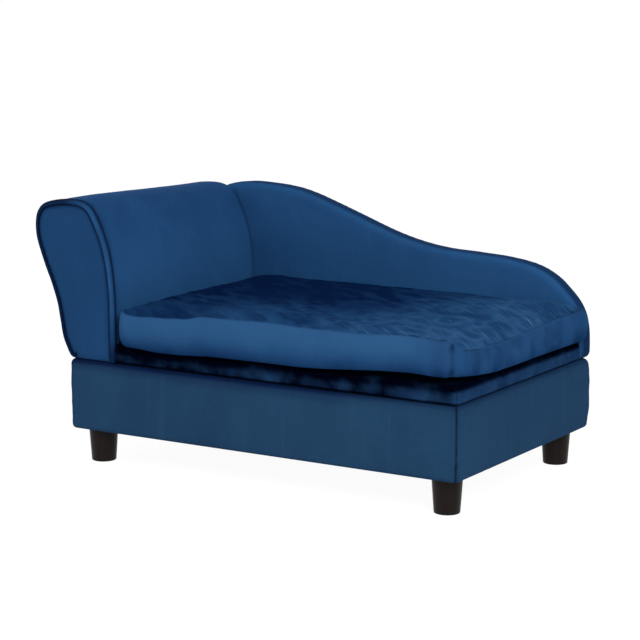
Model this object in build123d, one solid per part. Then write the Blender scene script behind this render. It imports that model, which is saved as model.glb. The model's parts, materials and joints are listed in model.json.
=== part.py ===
from build123d import *
import os
from math import hypot

# A small upholstered chaise for a pet, in millimetres.
# A storage box stands on four tapered legs. Its lid is the seat: a deck with
# one scrolled arm at the left and a swept back, hinged along the rear edge and
# held open by two folding stays. A loose boxed cushion lies on the deck.
# X runs along the length with the arm at the left, Y runs from the front to
# the rear, Z is up. The origin is under the middle of the whole object.

# Driving sizes
base_length = 690.0
base_depth = 435.0
base_height = 112.0
leg_height = 54.0
seam_gap = 0.6
deck_height = 29.0
arm_rise = 250.4
arm_width = 89.5
arm_lean = 63.0
back_rise = 243.0
back_thickness = 35.0
cushion_height = 58.0
cushion_crown = 9.0
cushion_front_overhang = 20.0
cushion_end_overhang = 11.0

# Sheet, board and cloth
board_thickness = 12.0
cover_thickness = 6.0  # velvet over thin wadding
fold_thickness = 2.0  # velvet folded round an edge and stapled
fold_width = 24.0
lining_thickness = 0.8
liner_thickness = 0.6
layer_gap = 0.3  # between soft layers that only lie on each other
edge_radius = 8.0
hem_radius = 5.0
corner_radius = 10.0
overrun = 10.0  # how far every cut runs past what it cuts

# Hinges
hinge_length = 60.0
hinge_end_distance = 110.0
hinge_radius = 4.0
hinge_stand = 0.3
hinge_knuckles = 5
knuckle_gap = 0.3
leaf_thickness = 1.5
leaf_height = 28.0
leaf_screw_height = 20.0
leaf_screw_spacing = 20.0
leaf_screws = 3
pin_radius = 1.5
pin_play = 0.05
pin_head_radius = 2.8
pin_head_thickness = 1.0

# Screws
screw_play = 0.05
small_screw_radius = 1.6
small_screw_head_radius = 3.2
leaf_screw_length = 16.0
stay_screw_length = 11.0
board_screw_radius = 2.2
board_screw_head_radius = 4.2
board_screw_length = 40.0

# Places of the main pieces
total_length = arm_lean + base_length + cushion_end_overhang
rear_reach = hinge_stand + 2 * hinge_radius
total_depth = cushion_front_overhang + base_depth + rear_reach
box_left = arm_lean - total_length / 2
box_right = box_left + base_length
box_middle = (box_left + box_right) / 2
box_front = cushion_front_overhang - total_depth / 2
box_rear = box_front + base_depth
box_bottom = leg_height
box_top = leg_height + base_height
lid_bottom = box_top + seam_gap
deck_top = lid_bottom + deck_height
arm_inner = box_left + arm_width
back_front = box_rear - back_thickness
hinge_y = box_rear + hinge_stand + hinge_radius
hinge_z = box_top + seam_gap / 2

# Boards of the box, inside its padded cover
frame_left = box_left + cover_thickness
frame_right = box_right - cover_thickness
frame_front = box_front + cover_thickness
frame_rear = box_rear - cover_thickness
frame_bottom = box_bottom + fold_thickness
frame_top = box_top - fold_thickness
store_left = frame_left + board_thickness
store_right = frame_right - board_thickness
store_front = frame_front + board_thickness
store_rear = frame_rear - board_thickness
store_floor = frame_bottom + board_thickness

# Boards of the lid
deck_board_bottom = lid_bottom + fold_thickness
deck_board_top = deck_board_bottom + board_thickness
deck_padding_top = deck_top - cover_thickness


def block(x_from, x_to, y_from, y_to, z_from, z_to):
    # A plain block between two opposite corners
    size = Box(abs(x_to - x_from), abs(y_to - y_from), abs(z_to - z_from))
    return Pos((x_from + x_to) / 2, (y_from + y_to) / 2, (z_from + z_to) / 2) * size


def rod(start, end, radius):
    # A round bar from one point to another
    run = Vector(*end) - Vector(*start)
    place = Plane(origin=start, z_dir=run)
    return place * Cylinder(radius, run.length, align=(Align.CENTER, Align.CENTER, Align.MIN))


def screw(head, direction, radius, length, head_radius, play=0):
    # A countersunk screw, or with some play the hole that it sits in
    place = Plane(origin=head, z_dir=direction)
    lowest = (Align.CENTER, Align.CENTER, Align.MIN)
    shank = place * Cylinder(radius + play, length + play, align=lowest)
    cone = place * Cone(head_radius + play, radius + play, head_radius - radius, align=lowest)
    return shank + cone


def save(name, shape):
    export_step(shape, f"parts/{name}.step")


# Outlines of the arm and the back, seen from the front

# Across is a share of the arm's width with its lean, up is a share of its rise
arm_outline_shares = [
    (0.492, 0.000), (0.439, 0.007), (0.407, 0.029), (0.379, 0.062),
    (0.331, 0.129), (0.298, 0.233), (0.262, 0.343), (0.197, 0.457),
    (0.118, 0.565), (0.046, 0.677), (0.007, 0.756), (0.000, 0.836),
    (0.023, 0.904), (0.098, 0.958), (0.256, 0.988), (0.446, 1.000),
    (0.597, 0.994), (0.721, 0.956), (0.839, 0.840), (0.928, 0.704),
    (0.977, 0.553), (1.000, 0.381), (1.000, 0.189), (1.000, 0.000),
]
# How wide the rolled border is along the arm, from its foot at the left, over
# the top and down to its foot at the right
arm_border_shares = [
    0.50, 0.50, 0.48, 0.47, 0.46, 0.45, 0.45, 0.46, 0.48, 0.50, 0.58,
    0.66, 0.72, 0.76, 0.84, 0.92, 1.00, 1.00, 1.00, 1.00, 1.00, 1.00,
]
# Across is a share of the base length, up is a share of the back's rise
back_outline_shares = [
    (0.0087, 0.000), (0.0007, 0.010), (-0.0022, 0.035), (-0.0022, 0.343),
    (-0.0022, 0.672), (0.0007, 0.829), (0.0217, 0.948), (0.0928, 0.999),
    (0.1652, 0.998), (0.2333, 0.979), (0.2833, 0.946), (0.3348, 0.899),
    (0.3913, 0.843), (0.4464, 0.786), (0.5000, 0.734), (0.5536, 0.691),
    (0.6087, 0.660), (0.6623, 0.642), (0.7254, 0.634), (0.8043, 0.621),
    (0.8806, 0.582), (0.9275, 0.520), (0.9565, 0.452), (0.9826, 0.374),
    (0.9977, 0.300), (1.0051, 0.220), (1.0080, 0.121), (1.0065, 0.035),
    (1.0022, 0.010), (0.9942, 0.000),
]


spline_spans = 3  # spans of each short spline in a pieced outline


def outline(shares, x_from, x_span, z_span):
    # Points of an outline that stands on the underside of the lid
    return [(x_from + across * x_span, lid_bottom + up * z_span) for across, up in shares]


def drawn_in(points, distances):
    # The points of an outline moved square to it, towards its inside
    moved = []
    for index, (x, z) in enumerate(points):
        before = points[max(index - 1, 0)]
        after = points[min(index + 1, len(points) - 1)]
        run = after[0] - before[0]
        rise = after[1] - before[1]
        length = hypot(run, rise)
        moved.append((x + distances[index] * rise / length, z - distances[index] * run / length))
    return moved


def evenly_in(points, distance):
    return drawn_in(points, [distance] * len(points))


def upright(points, left_foot, right_foot):
    # The same outline without the points of its rounded feet, with plain sides
    # that run on past the underside of the lid
    kept = points[left_foot:len(points) - right_foot]
    foot = lid_bottom - overrun
    return [(kept[0][0], foot)] + kept + [(kept[-1][0], foot)]


def slab(points, y_from, y_to):
    # A plate of this outline, closed by a straight line along its foot
    corners = [(x, y_from, z) for x, z in points]
    edges = [Spline(*corners), Line(corners[-1], corners[0])]
    return extrude(make_face(edges), amount=y_to - y_from, dir=(0, 1, 0))


def pieced_slab(points, y_from, y_to):
    # The same plate with its outline drawn as a chain of short splines that
    # run smoothly into each other, so a thin wrap keeps an even wall
    corners = [(x, y_from, z) for x, z in points]
    last = len(corners) - 1
    whole = Spline(*corners)
    stops = list(range(0, last - spline_spans + 1, spline_spans)) + [last]
    slopes = [whole.tangent_at(whole.param_at_point(Vector(*corners[stop]))) for stop in stops]
    edges = [Line(corners[last], corners[0])]
    for index in range(1, len(stops)):
        start = stops[index - 1]
        stop = stops[index]
        ends = [slopes[index - 1], slopes[index]]
        edges.append(Spline(*corners[start:stop + 1], tangents=ends))
    return extrude(make_face(edges), amount=y_to - y_from, dir=(0, 1, 0))


def above(shape, height):
    return split(shape, Plane.XY.offset(height), keep=Keep.TOP)


arm_points = outline(arm_outline_shares, box_left - arm_lean, arm_width + arm_lean, arm_rise)
back_points = outline(back_outline_shares, box_left, base_length, back_rise)
arm_core = upright(arm_points, 3, 1)
back_core = upright(back_points, 2, 2)

# Legs

leg_top_radius = 23.0
leg_foot_radius = 19.25
leg_foot_rounding = 1.5
leg_end_distance = 36.0
leg_side_distance = 39.0
leg_bolt_radius = 4.0
leg_bolt_depth = 28.0
leg_bolt_play = 0.05
tee_nut_radius = 5.2
tee_nut_flange_radius = 9.5
tee_nut_flange_thickness = 1.5
tee_nut_length = 10.5


def leg_places():
    left = box_left + leg_end_distance
    right = box_right - leg_end_distance
    front = box_front + leg_side_distance
    rear = box_rear - leg_side_distance
    return {
        "front_left": (left, front),
        "front_right": (right, front),
        "rear_left": (left, rear),
        "rear_right": (right, rear),
    }


def make_leg(x, y):
    # A tapered turned leg with a blind hole for its bolt
    lowest = (Align.CENTER, Align.CENTER, Align.MIN)
    leg = Pos(x, y, 0) * Cone(leg_foot_radius, leg_top_radius, leg_height, align=lowest)
    foot_edge = leg.edges().group_by(Axis.Z)[0]
    leg = fillet(foot_edge, leg_foot_rounding)
    hole_bottom = leg_height - leg_bolt_depth
    return leg - rod((x, y, hole_bottom), (x, y, leg_height), leg_bolt_radius + leg_bolt_play)


def make_leg_bolt(x, y):
    return rod((x, y, leg_height - leg_bolt_depth), (x, y, store_floor), leg_bolt_radius)


def make_tee_nut(x, y, play=0):
    # A flanged barrel let into the floor board from above
    low = store_floor - tee_nut_length - play
    flange_low = store_floor - tee_nut_flange_thickness - play
    barrel = rod((x, y, low), (x, y, store_floor), tee_nut_radius + play)
    return barrel + rod((x, y, flange_low), (x, y, store_floor), tee_nut_flange_radius + play)


def make_legs():
    bolts = []
    nuts = []
    for name, (x, y) in leg_places().items():
        save(f"leg_{name}", make_leg(x, y))
        bolt_room = rod((x, y, box_bottom), (x, y, store_floor + overrun), leg_bolt_radius + leg_bolt_play)
        bolts.append(make_leg_bolt(x, y))
        nuts.append(make_tee_nut(x, y) - bolt_room)
    save("leg_bolts", Compound(children=bolts))
    save("leg_tee_nuts", Compound(children=nuts))


# Storage box

carcass_screw_level_shares = [0.15, 0.5, 0.85]


def carcass_screws():
    # Heads and directions of the screws that hold the ends of the side boards
    places = []
    for x in (frame_left + board_thickness / 2, frame_right - board_thickness / 2):
        for share in carcass_screw_level_shares:
            z = frame_bottom + share * (frame_top - frame_bottom)
            places.append(((x, frame_front, z), (0, 1, 0)))
            places.append(((x, frame_rear, z), (0, -1, 0)))
    return places


def carcass_screw(head, direction, play=0):
    return screw(head, direction, board_screw_radius, board_screw_length, board_screw_head_radius, play)


def make_box_boards():
    front = block(frame_left, frame_right, frame_front, store_front, frame_bottom, frame_top)
    rear = block(frame_left, frame_right, store_rear, frame_rear, frame_bottom, frame_top)
    left = block(frame_left, store_left, store_front, store_rear, frame_bottom, frame_top)
    right = block(store_right, frame_right, store_front, store_rear, frame_bottom, frame_top)
    for head, direction in carcass_screws():
        hole = carcass_screw(head, direction, screw_play)
        if direction[1] > 0:
            front -= hole
        else:
            rear -= hole
        if head[0] < box_middle:
            left -= hole
        else:
            right -= hole
    for head in base_leaf_screws():
        rear -= leaf_screw(head, screw_play)
    for side, board in ((-1, left), (1, right)):
        for head in stay_plate_screws(side):
            board -= stay_screw(head, (side, 0, 0), screw_play)
        save("base_left_board" if side < 0 else "base_right_board", board)
    floor = block(store_left, store_right, store_front, store_rear, frame_bottom, store_floor)
    for x, y in leg_places().values():
        floor -= make_tee_nut(x, y, leg_bolt_play)
        floor -= rod((x, y, frame_bottom), (x, y, store_floor), tee_nut_radius + leg_bolt_play)
    save("base_front_board", front)
    save("base_rear_board", rear)
    save("base_floor_board", floor)
    save("carcass_screws", Compound(children=[carcass_screw(*place) for place in carcass_screws()]))


def make_base_cover():
    # Padded velvet round the four sides, folded over the top of the boards
    # and under their foot
    outer = Pos(box_middle, (box_front + box_rear) / 2, box_bottom) * extrude(
        RectangleRounded(base_length, base_depth, corner_radius), amount=base_height
    )
    outer = fillet(outer.faces().sort_by(Axis.Z)[-1].edges(), edge_radius)
    outer = fillet(outer.faces().sort_by(Axis.Z)[0].edges(), hem_radius)
    cover = outer - block(frame_left, frame_right, frame_front, frame_rear, frame_bottom, frame_top)
    cover -= block(store_left, store_right, store_front, store_rear, frame_top, box_top + overrun)
    cover -= block(
        box_left + fold_width, box_right - fold_width, box_front + fold_width,
        box_rear - fold_width, box_bottom - overrun, frame_bottom,
    )
    for head in base_leaf_screws():
        cover -= leaf_screw(head, screw_play)
    save("base_cover", cover)


def make_linings():
    walls = block(store_left, store_right, store_front, store_rear, store_floor, frame_top)
    walls -= block(
        store_left + lining_thickness, store_right - lining_thickness,
        store_front + lining_thickness, store_rear - lining_thickness,
        store_floor + lining_thickness, frame_top + overrun,
    )
    for side in (-1, 1):
        for head in stay_plate_screws(side):
            walls -= stay_screw(head, (side, 0, 0), screw_play)
    save("storage_lining", walls)
    dust_cover = block(
        box_left + fold_width, box_right - fold_width, box_front + fold_width,
        box_rear - fold_width, frame_bottom - liner_thickness, frame_bottom,
    )
    for x, y in leg_places().values():
        dust_cover -= rod((x, y, box_bottom), (x, y, store_floor), tee_nut_radius + leg_bolt_play)
    save("base_dust_cover", dust_cover)


# Rear hinges


def hinge_middles():
    return {"left": box_left + hinge_end_distance, "right": box_right - hinge_end_distance}


def leaf_screw_heads(up):
    heads = []
    for middle in hinge_middles().values():
        for number in range(leaf_screws):
            x = middle + (number - (leaf_screws - 1) / 2) * leaf_screw_spacing
            heads.append((x, box_rear + leaf_thickness, hinge_z + up * leaf_screw_height))
    return heads


def base_leaf_screws():
    return leaf_screw_heads(-1)


def lid_leaf_screws():
    return leaf_screw_heads(1)


def leaf_screw(head, play=0):
    return screw(head, (0, -1, 0), small_screw_radius, leaf_screw_length, small_screw_head_radius, play)


def make_leaf(middle, up, numbers):
    # A flat leaf with its share of the knuckles
    start = middle - hinge_length / 2
    pitch = hinge_length / hinge_knuckles
    reach = hinge_radius + knuckle_gap
    outside = box_rear + leaf_thickness
    leaf = block(start, start + hinge_length, box_rear, outside, hinge_z + up * reach, hinge_z + up * leaf_height)
    for number in numbers:
        x_from = start + number * pitch + knuckle_gap / 2
        x_to = start + (number + 1) * pitch - knuckle_gap / 2
        leaf += block(x_from, x_to, box_rear, outside, hinge_z, hinge_z + up * reach)
        leaf += rod((x_from, hinge_y, hinge_z), (x_to, hinge_y, hinge_z), hinge_radius)
    end = start + hinge_length
    leaf -= rod((start, hinge_y, hinge_z), (end, hinge_y, hinge_z), pin_radius + pin_play)
    for head in leaf_screw_heads(up):
        if start < head[0] < end:
            leaf -= leaf_screw(head, screw_play)
    return leaf


def make_pin(middle):
    start = middle - hinge_length / 2 - pin_play
    end = middle + hinge_length / 2 + pin_play
    pin = rod((start, hinge_y, hinge_z), (end, hinge_y, hinge_z), pin_radius)
    pin += rod((start - pin_head_thickness, hinge_y, hinge_z), (start, hinge_y, hinge_z), pin_head_radius)
    return pin + rod((end, hinge_y, hinge_z), (end + pin_head_thickness, hinge_y, hinge_z), pin_head_radius)


def make_hinges():
    base_numbers = range(0, hinge_knuckles, 2)
    lid_numbers = range(1, hinge_knuckles, 2)
    for name, middle in hinge_middles().items():
        save(f"hinge_base_leaf_{name}", make_leaf(middle, -1, base_numbers))
        save(f"hinge_lid_leaf_{name}", make_leaf(middle, 1, lid_numbers))
        save(f"hinge_pin_{name}", make_pin(middle))
    save("hinge_base_screws", Compound(children=[leaf_screw(head) for head in base_leaf_screws()]))
    save("hinge_lid_screws", Compound(children=[leaf_screw(head) for head in lid_leaf_screws()]))


# Folding stays inside the box
# The long arm turns on a plate on the side board and stays in line with the
# lid. The short link joins it to a bracket under the deck.

stay_plate_back = 40.0  # from the hinge axis to the lower pivot, forwards
stay_plate_drop = 65.0  # and downwards
stay_reach = 130.0  # from the hinge axis to the bracket's pivot, forwards
stay_drop = 8.0  # and downwards
stay_bar_width = 12.0
stay_bar_thickness = 2.5
stay_bar_gap = 0.5
stay_plate_thickness = 2.0
stay_plate_width = 18.0
stay_plate_height = 44.0
stay_plate_screw_spacing = 30.0
stay_rivet_radius = 3.0
stay_rivet_play = 0.05
stay_open_play = 0.3
stay_rivet_head_radius = 4.6
stay_rivet_head_thickness = 1.0
stay_bracket_width = 20.0
stay_bracket_foot = 20.0
stay_bracket_screw_spacing = 10.0
stay_bracket_screw_share = 0.6  # of the foot, from the ear to the screws

stay_plate_pivot = (hinge_y - stay_plate_back, hinge_z - stay_plate_drop)
stay_bracket_pivot = (hinge_y - stay_reach, hinge_z - stay_drop)
stay_elbow = (stay_plate_pivot[0] - stay_reach, stay_plate_pivot[1] - stay_drop)

# Distances of the layers from the lining, towards the middle of the box
stay_arm_layer = stay_plate_thickness + stay_bar_gap
stay_link_layer = stay_arm_layer + stay_bar_thickness + stay_bar_gap
stay_bracket_layer = stay_link_layer + stay_bar_thickness + stay_bar_gap


def stay_x(side, distance):
    wall = store_left + lining_thickness if side < 0 else store_right - lining_thickness
    return wall - side * distance


def stay_rod(side, pivot, near, far, radius):
    y, z = pivot
    return rod((stay_x(side, near), y, z), (stay_x(side, far), y, z), radius)


def stay_bar(side, start, end, layer):
    # A flat bar with round ends between two pivots
    middle = ((start[0] + end[0]) / 2, (start[1] + end[1]) / 2)
    span = hypot(end[0] - start[0], end[1] - start[1])
    place = Plane(
        origin=(stay_x(side, layer), middle[0], middle[1]),
        x_dir=(0, end[0] - start[0], end[1] - start[1]),
        z_dir=(-side, 0, 0),
    )
    return extrude(place * SlotCenterToCenter(span, stay_bar_width), amount=stay_bar_thickness)


def stay_plate_screws(side):
    y, z = stay_plate_pivot
    x = stay_x(side, stay_plate_thickness)
    return [(x, y, z + up * stay_plate_screw_spacing / 2) for up in (-1, 1)]


def stay_bracket_screws(side):
    y, z = stay_bracket_pivot
    bottom = deck_board_bottom - liner_thickness - stay_plate_thickness
    x = stay_x(side, stay_bracket_layer + stay_bracket_foot * stay_bracket_screw_share)
    return [(x, y + away * stay_bracket_screw_spacing / 2, bottom) for away in (-1, 1)]


def stay_screw(head, direction, play=0):
    return screw(head, direction, small_screw_radius, stay_screw_length, small_screw_head_radius, play)


def make_stay_plate(side):
    y, z = stay_plate_pivot
    plate = block(
        stay_x(side, 0), stay_x(side, stay_plate_thickness),
        y - stay_plate_width / 2, y + stay_plate_width / 2,
        z - stay_plate_height / 2, z + stay_plate_height / 2,
    )
    for head in stay_plate_screws(side):
        plate -= stay_screw(head, (side, 0, 0), screw_play)
    arm_inside = stay_arm_layer + stay_bar_thickness
    rivet_end = arm_inside + stay_bar_gap / 2
    plate += stay_rod(side, stay_plate_pivot, 0, rivet_end, stay_rivet_radius)
    head_end = rivet_end + stay_rivet_head_thickness
    return plate + stay_rod(side, stay_plate_pivot, rivet_end, head_end, stay_rivet_head_radius)


def make_stay_arm(side):
    # The long arm with the elbow's rivet
    bar = stay_bar(side, stay_plate_pivot, stay_elbow, stay_arm_layer)
    hole_radius = stay_rivet_radius + stay_rivet_play
    bar -= stay_rod(side, stay_plate_pivot, 0, stay_bracket_layer, hole_radius)
    rivet_end = stay_link_layer + stay_bar_thickness + stay_bar_gap / 2
    bar += stay_rod(side, stay_elbow, stay_arm_layer, rivet_end, stay_rivet_radius)
    head_end = rivet_end + stay_rivet_head_thickness
    return bar + stay_rod(side, stay_elbow, rivet_end, head_end, stay_rivet_head_radius)


def make_stay_link(side):
    bar = stay_bar(side, stay_elbow, stay_bracket_pivot, stay_link_layer)
    bar -= stay_rod(side, stay_elbow, 0, stay_bracket_layer, stay_rivet_radius + stay_rivet_play)
    return bar - stay_rod(side, stay_bracket_pivot, 0, stay_bracket_layer, stay_rivet_radius + stay_open_play)


def make_stay_bracket(side):
    # An angle under the deck with a hanging ear and its rivet
    y, z = stay_bracket_pivot
    top = deck_board_bottom - liner_thickness
    near = stay_bracket_layer
    y_from = y - stay_bracket_width / 2
    y_to = y + stay_bracket_width / 2
    foot_bottom = top - stay_plate_thickness
    angle = block(stay_x(side, near), stay_x(side, near + stay_bracket_foot), y_from, y_to, foot_bottom, top)
    ear_bottom = z - stay_bar_width / 2
    angle += block(stay_x(side, near), stay_x(side, near + stay_plate_thickness), y_from, y_to, ear_bottom, top)
    for head in stay_bracket_screws(side):
        angle -= stay_screw(head, (0, 0, 1), screw_play)
    rivet_end = stay_link_layer - stay_bar_gap / 2
    angle += stay_rod(side, stay_bracket_pivot, rivet_end, near, stay_rivet_radius)
    head_end = rivet_end - stay_rivet_head_thickness
    return angle + stay_rod(side, stay_bracket_pivot, head_end, rivet_end, stay_rivet_head_radius)


def make_stays():
    plate_screws = []
    bracket_screws = []
    for name, side in (("left", -1), ("right", 1)):
        save(f"stay_plate_{name}", make_stay_plate(side))
        save(f"stay_arm_{name}", make_stay_arm(side))
        save(f"stay_link_{name}", make_stay_link(side))
        save(f"stay_bracket_{name}", make_stay_bracket(side))
        plate_screws += [stay_screw(head, (side, 0, 0)) for head in stay_plate_screws(side)]
        bracket_screws += [stay_screw(head, (0, 0, 1)) for head in stay_bracket_screws(side)]
    save("stay_plate_screws", Compound(children=plate_screws))
    save("stay_bracket_screws", Compound(children=bracket_screws))


# Deck of the lid

arm_front_y = box_front + cover_thickness
arm_rear_panel_thickness = 3.0
arm_rear_y = back_front - layer_gap
arm_padding_thickness = 10.0
arm_board_inset = cover_thickness + arm_padding_thickness + 2 * layer_gap
back_board_inset = cover_thickness + 2 * layer_gap
back_board_rear = box_rear - cover_thickness - layer_gap
back_board_front = back_board_rear - board_thickness
lid_screw_arm_shares = [0.55, 0.8]
lid_screw_back_shares = [0.06, 0.28, 0.5, 0.72, 0.94]


def lid_screws():
    # Heads of the screws that go up through the deck board into what stands on it
    places = []
    arm_front_line = arm_front_y + board_thickness / 2 + layer_gap
    arm_rear_line = arm_rear_y - arm_rear_panel_thickness - board_thickness / 2
    for share in lid_screw_arm_shares:
        x = box_left - arm_lean + share * (arm_width + arm_lean)
        places.append((x, arm_front_line, deck_board_bottom))
        places.append((x, arm_rear_line, deck_board_bottom))
    for share in lid_screw_back_shares:
        back_line = (back_board_front + back_board_rear) / 2
        places.append((box_left + share * base_length, back_line, deck_board_bottom))
    return places


def lid_screw(head, play=0):
    return screw(head, (0, 0, 1), board_screw_radius, board_screw_length, board_screw_head_radius, play)


def make_deck_boards():
    board = block(frame_left, frame_right, frame_front, frame_rear, deck_board_bottom, deck_board_top)
    for head in lid_screws():
        board -= lid_screw(head, screw_play)
    for side in (-1, 1):
        for head in stay_bracket_screws(side):
            board -= stay_screw(head, (0, 0, 1), screw_play)
    save("deck_board", board)
    padding = block(
        arm_inner + layer_gap, frame_right - layer_gap, frame_front + layer_gap,
        back_front - layer_gap, deck_board_top, deck_padding_top - layer_gap,
    )
    save("deck_padding", padding)
    liner = block(
        box_left + fold_width, box_right - fold_width, box_front + fold_width,
        box_rear - fold_width, deck_board_bottom - liner_thickness, deck_board_bottom,
    )
    for side in (-1, 1):
        for head in stay_bracket_screws(side):
            liner -= stay_screw(head, (0, 0, 1), screw_play)
    save("deck_liner", liner)
    save("lid_screws", Compound(children=[lid_screw(head) for head in lid_screws()]))


def make_deck_cover():
    # Velvet over the seat deck, down its front and right edges and folded under
    outer = Pos(box_middle, (box_front + box_rear) / 2, lid_bottom) * extrude(
        RectangleRounded(base_length, base_depth, corner_radius), amount=deck_height
    )
    outer = fillet(outer.faces().sort_by(Axis.Z)[-1].edges(), edge_radius)
    outer = fillet(outer.faces().sort_by(Axis.Z)[0].edges(), hem_radius)
    cover = outer & block(
        arm_inner + layer_gap, box_right + overrun, box_front - overrun,
        back_front - layer_gap, lid_bottom - overrun, deck_top + overrun,
    )
    cover -= block(
        box_left - overrun, frame_right, frame_front,
        box_rear + overrun, deck_board_bottom, deck_padding_top,
    )
    cover -= block(
        box_left - overrun, box_right - fold_width, box_front + fold_width,
        box_rear + overrun, lid_bottom - overrun, deck_board_bottom,
    )
    save("deck_cover", cover)


# Arm

arm_border_width = 13.5
arm_border_depth = cover_thickness - layer_gap
arm_border_rounding = 3.5
arm_panel_recess = 2.5
arm_rail_size = 20.0
arm_rail_shares = [(0.30, 0.83), (0.60, 0.84), (0.62, 0.42)]


def make_arm():
    # Boards at both ends, padding and velvet wrapped round them
    front_board_y = arm_front_y + layer_gap
    rear_board_y = arm_rear_y - arm_rear_panel_thickness - board_thickness
    board_points = evenly_in(arm_core, arm_board_inset)
    front_board = above(pieced_slab(board_points, front_board_y, front_board_y + board_thickness), deck_board_top)
    rear_board = above(pieced_slab(board_points, rear_board_y, rear_board_y + board_thickness), deck_board_top)
    for head in lid_screws():
        front_board -= lid_screw(head, screw_play)
        rear_board -= lid_screw(head, screw_play)
    save("arm_front_board", front_board)
    save("arm_rear_board", rear_board)
    rails = []
    for across, up in arm_rail_shares:
        x = box_left - arm_lean + across * (arm_width + arm_lean)
        z = lid_bottom + up * arm_rise
        rails.append(block(
            x - arm_rail_size / 2, x + arm_rail_size / 2, front_board_y + board_thickness, rear_board_y,
            z - arm_rail_size / 2, z + arm_rail_size / 2,
        ))
    save("arm_rails", Compound(children=rails))
    padding_outside = evenly_in(arm_points, cover_thickness + layer_gap)
    padding_inside = evenly_in(arm_core, cover_thickness + layer_gap + arm_padding_thickness)
    padding_end = rear_board_y + board_thickness
    padding = pieced_slab(padding_outside, front_board_y, padding_end)
    padding -= pieced_slab(padding_inside, front_board_y - overrun, padding_end + overrun)
    save("arm_padding", above(padding, deck_board_top + layer_gap))
    cover = pieced_slab(arm_points, front_board_y, padding_end)
    cover -= pieced_slab(evenly_in(arm_points, cover_thickness), front_board_y - overrun, padding_end + overrun)
    cover -= block(
        frame_left, arm_inner + overrun, box_front - overrun, box_rear, deck_board_bottom, deck_board_top,
    )
    cover -= block(
        box_left + fold_width, arm_inner + overrun, box_front - overrun,
        box_rear, lid_bottom - overrun, deck_board_bottom,
    )
    save("arm_cover", cover)
    rear_panel = above(pieced_slab(evenly_in(arm_core, layer_gap), padding_end, arm_rear_y), deck_board_top)
    save("arm_rear_panel", rear_panel)


def make_arm_front():
    # A flat velvet panel inside a thicker rolled border
    border_widths = [share * arm_border_width for share in arm_border_shares]
    gap_widths = [width + layer_gap for width in border_widths]
    border_rear = box_front + arm_border_depth
    border = slab(arm_points, box_front, border_rear)
    front_edges = border.faces().sort_by(Axis.Y)[0].edges()
    border = fillet(front_edges, arm_border_rounding)
    inside = slab(drawn_in(arm_core, border_widths), box_front - overrun, border_rear + overrun)
    save("arm_border", border - inside)
    panel = slab(drawn_in(arm_core, gap_widths), box_front + arm_panel_recess, border_rear)
    save("arm_front_panel", above(panel, lid_bottom))


# Back

back_rounding = 3.5


def make_back():
    board = slab(evenly_in(back_core, back_board_inset), back_board_front, back_board_rear)
    board = above(board, deck_board_top)
    for head in lid_screws():
        board -= lid_screw(head, screw_play)
    for head in lid_leaf_screws():
        board -= leaf_screw(head, screw_play)
    save("back_board", board)
    padding_front = back_front + cover_thickness + layer_gap
    padding = slab(
        evenly_in(back_core, cover_thickness + layer_gap), padding_front, back_board_front - layer_gap
    )
    save("back_padding", above(padding, deck_board_top + layer_gap))
    cover = slab(back_points, back_front, box_rear)
    edges = cover.faces().sort_by(Axis.Y)[0].edges() + cover.faces().sort_by(Axis.Y)[-1].edges()
    cover = fillet(edges, back_rounding)
    inside = slab(
        evenly_in(back_core, cover_thickness), back_front + cover_thickness, box_rear - cover_thickness
    )
    cover -= above(inside, deck_board_bottom)
    cover -= block(
        frame_left, frame_right, back_front - overrun, frame_rear, deck_board_bottom, deck_board_top,
    )
    cover -= block(
        box_left + fold_width, box_right - fold_width, back_front - overrun,
        box_rear - fold_width, lid_bottom - overrun, deck_board_bottom,
    )
    for head in lid_leaf_screws():
        cover -= leaf_screw(head, screw_play)
    save("back_cover", cover)


# Loose cushion

cushion_arm_gap = 8.0
cushion_back_gap = 1.0
cushion_wall = 6.0
cushion_draw_in = 5.0
cushion_front_left_radius = 24.0
cushion_front_right_radius = 36.0
cushion_rear_radius = 16.0
# How far the crown's rings lie inside the seam, as shares of the depth, and
# how high they stand, as shares of the crown
cushion_crown_inset_shares = [0.08, 0.20, 0.36]
cushion_crown_rise_shares = [0.45, 0.82, 1.00]

cushion_left = arm_inner + cushion_arm_gap
cushion_right = box_right + cushion_end_overhang
cushion_front = box_front - cushion_front_overhang
cushion_rear = back_front - cushion_back_gap
cushion_bottom = deck_top + layer_gap
cushion_seam = cushion_bottom + cushion_height


def cushion_ring(inset, z):
    # A rounded outline of four sides at one height
    left = cushion_left + inset
    right = cushion_right - inset
    front = cushion_front + inset
    rear = cushion_rear - inset
    sharp = Rectangle(right - left, rear - front)
    sharp = Pos((left + right) / 2, (front + rear) / 2) * sharp
    corners = sharp.vertices().sort_by(Axis.Y)
    front_left, front_right = corners[:2].sort_by(Axis.X)
    ring = fillet(front_left, cushion_front_left_radius)
    ring = fillet(ring.vertices().sort_by(Axis.Y)[:2].sort_by(Axis.X)[-1:], cushion_front_right_radius)
    ring = fillet(ring.vertices().sort_by(Axis.Y)[-2:], cushion_rear_radius)
    return Pos(0, 0, z) * ring


def cushion_form(shrink):
    # A boxed border that swells between its seams, and a crown on top
    bottom = cushion_bottom + shrink
    seam = cushion_seam - shrink
    seam_inset = cushion_draw_in + shrink
    border = loft([
        cushion_ring(seam_inset, bottom),
        cushion_ring(shrink, (bottom + seam) / 2),
        cushion_ring(seam_inset, seam),
    ])
    depth = cushion_rear - cushion_front
    rings = [cushion_ring(seam_inset, seam)]
    for inset, rise in zip(cushion_crown_inset_shares, cushion_crown_rise_shares):
        rings.append(cushion_ring(seam_inset + inset * depth, seam + rise * cushion_crown))
    return border + loft(rings)


# Zip sunk in the rear border of the cushion

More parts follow.
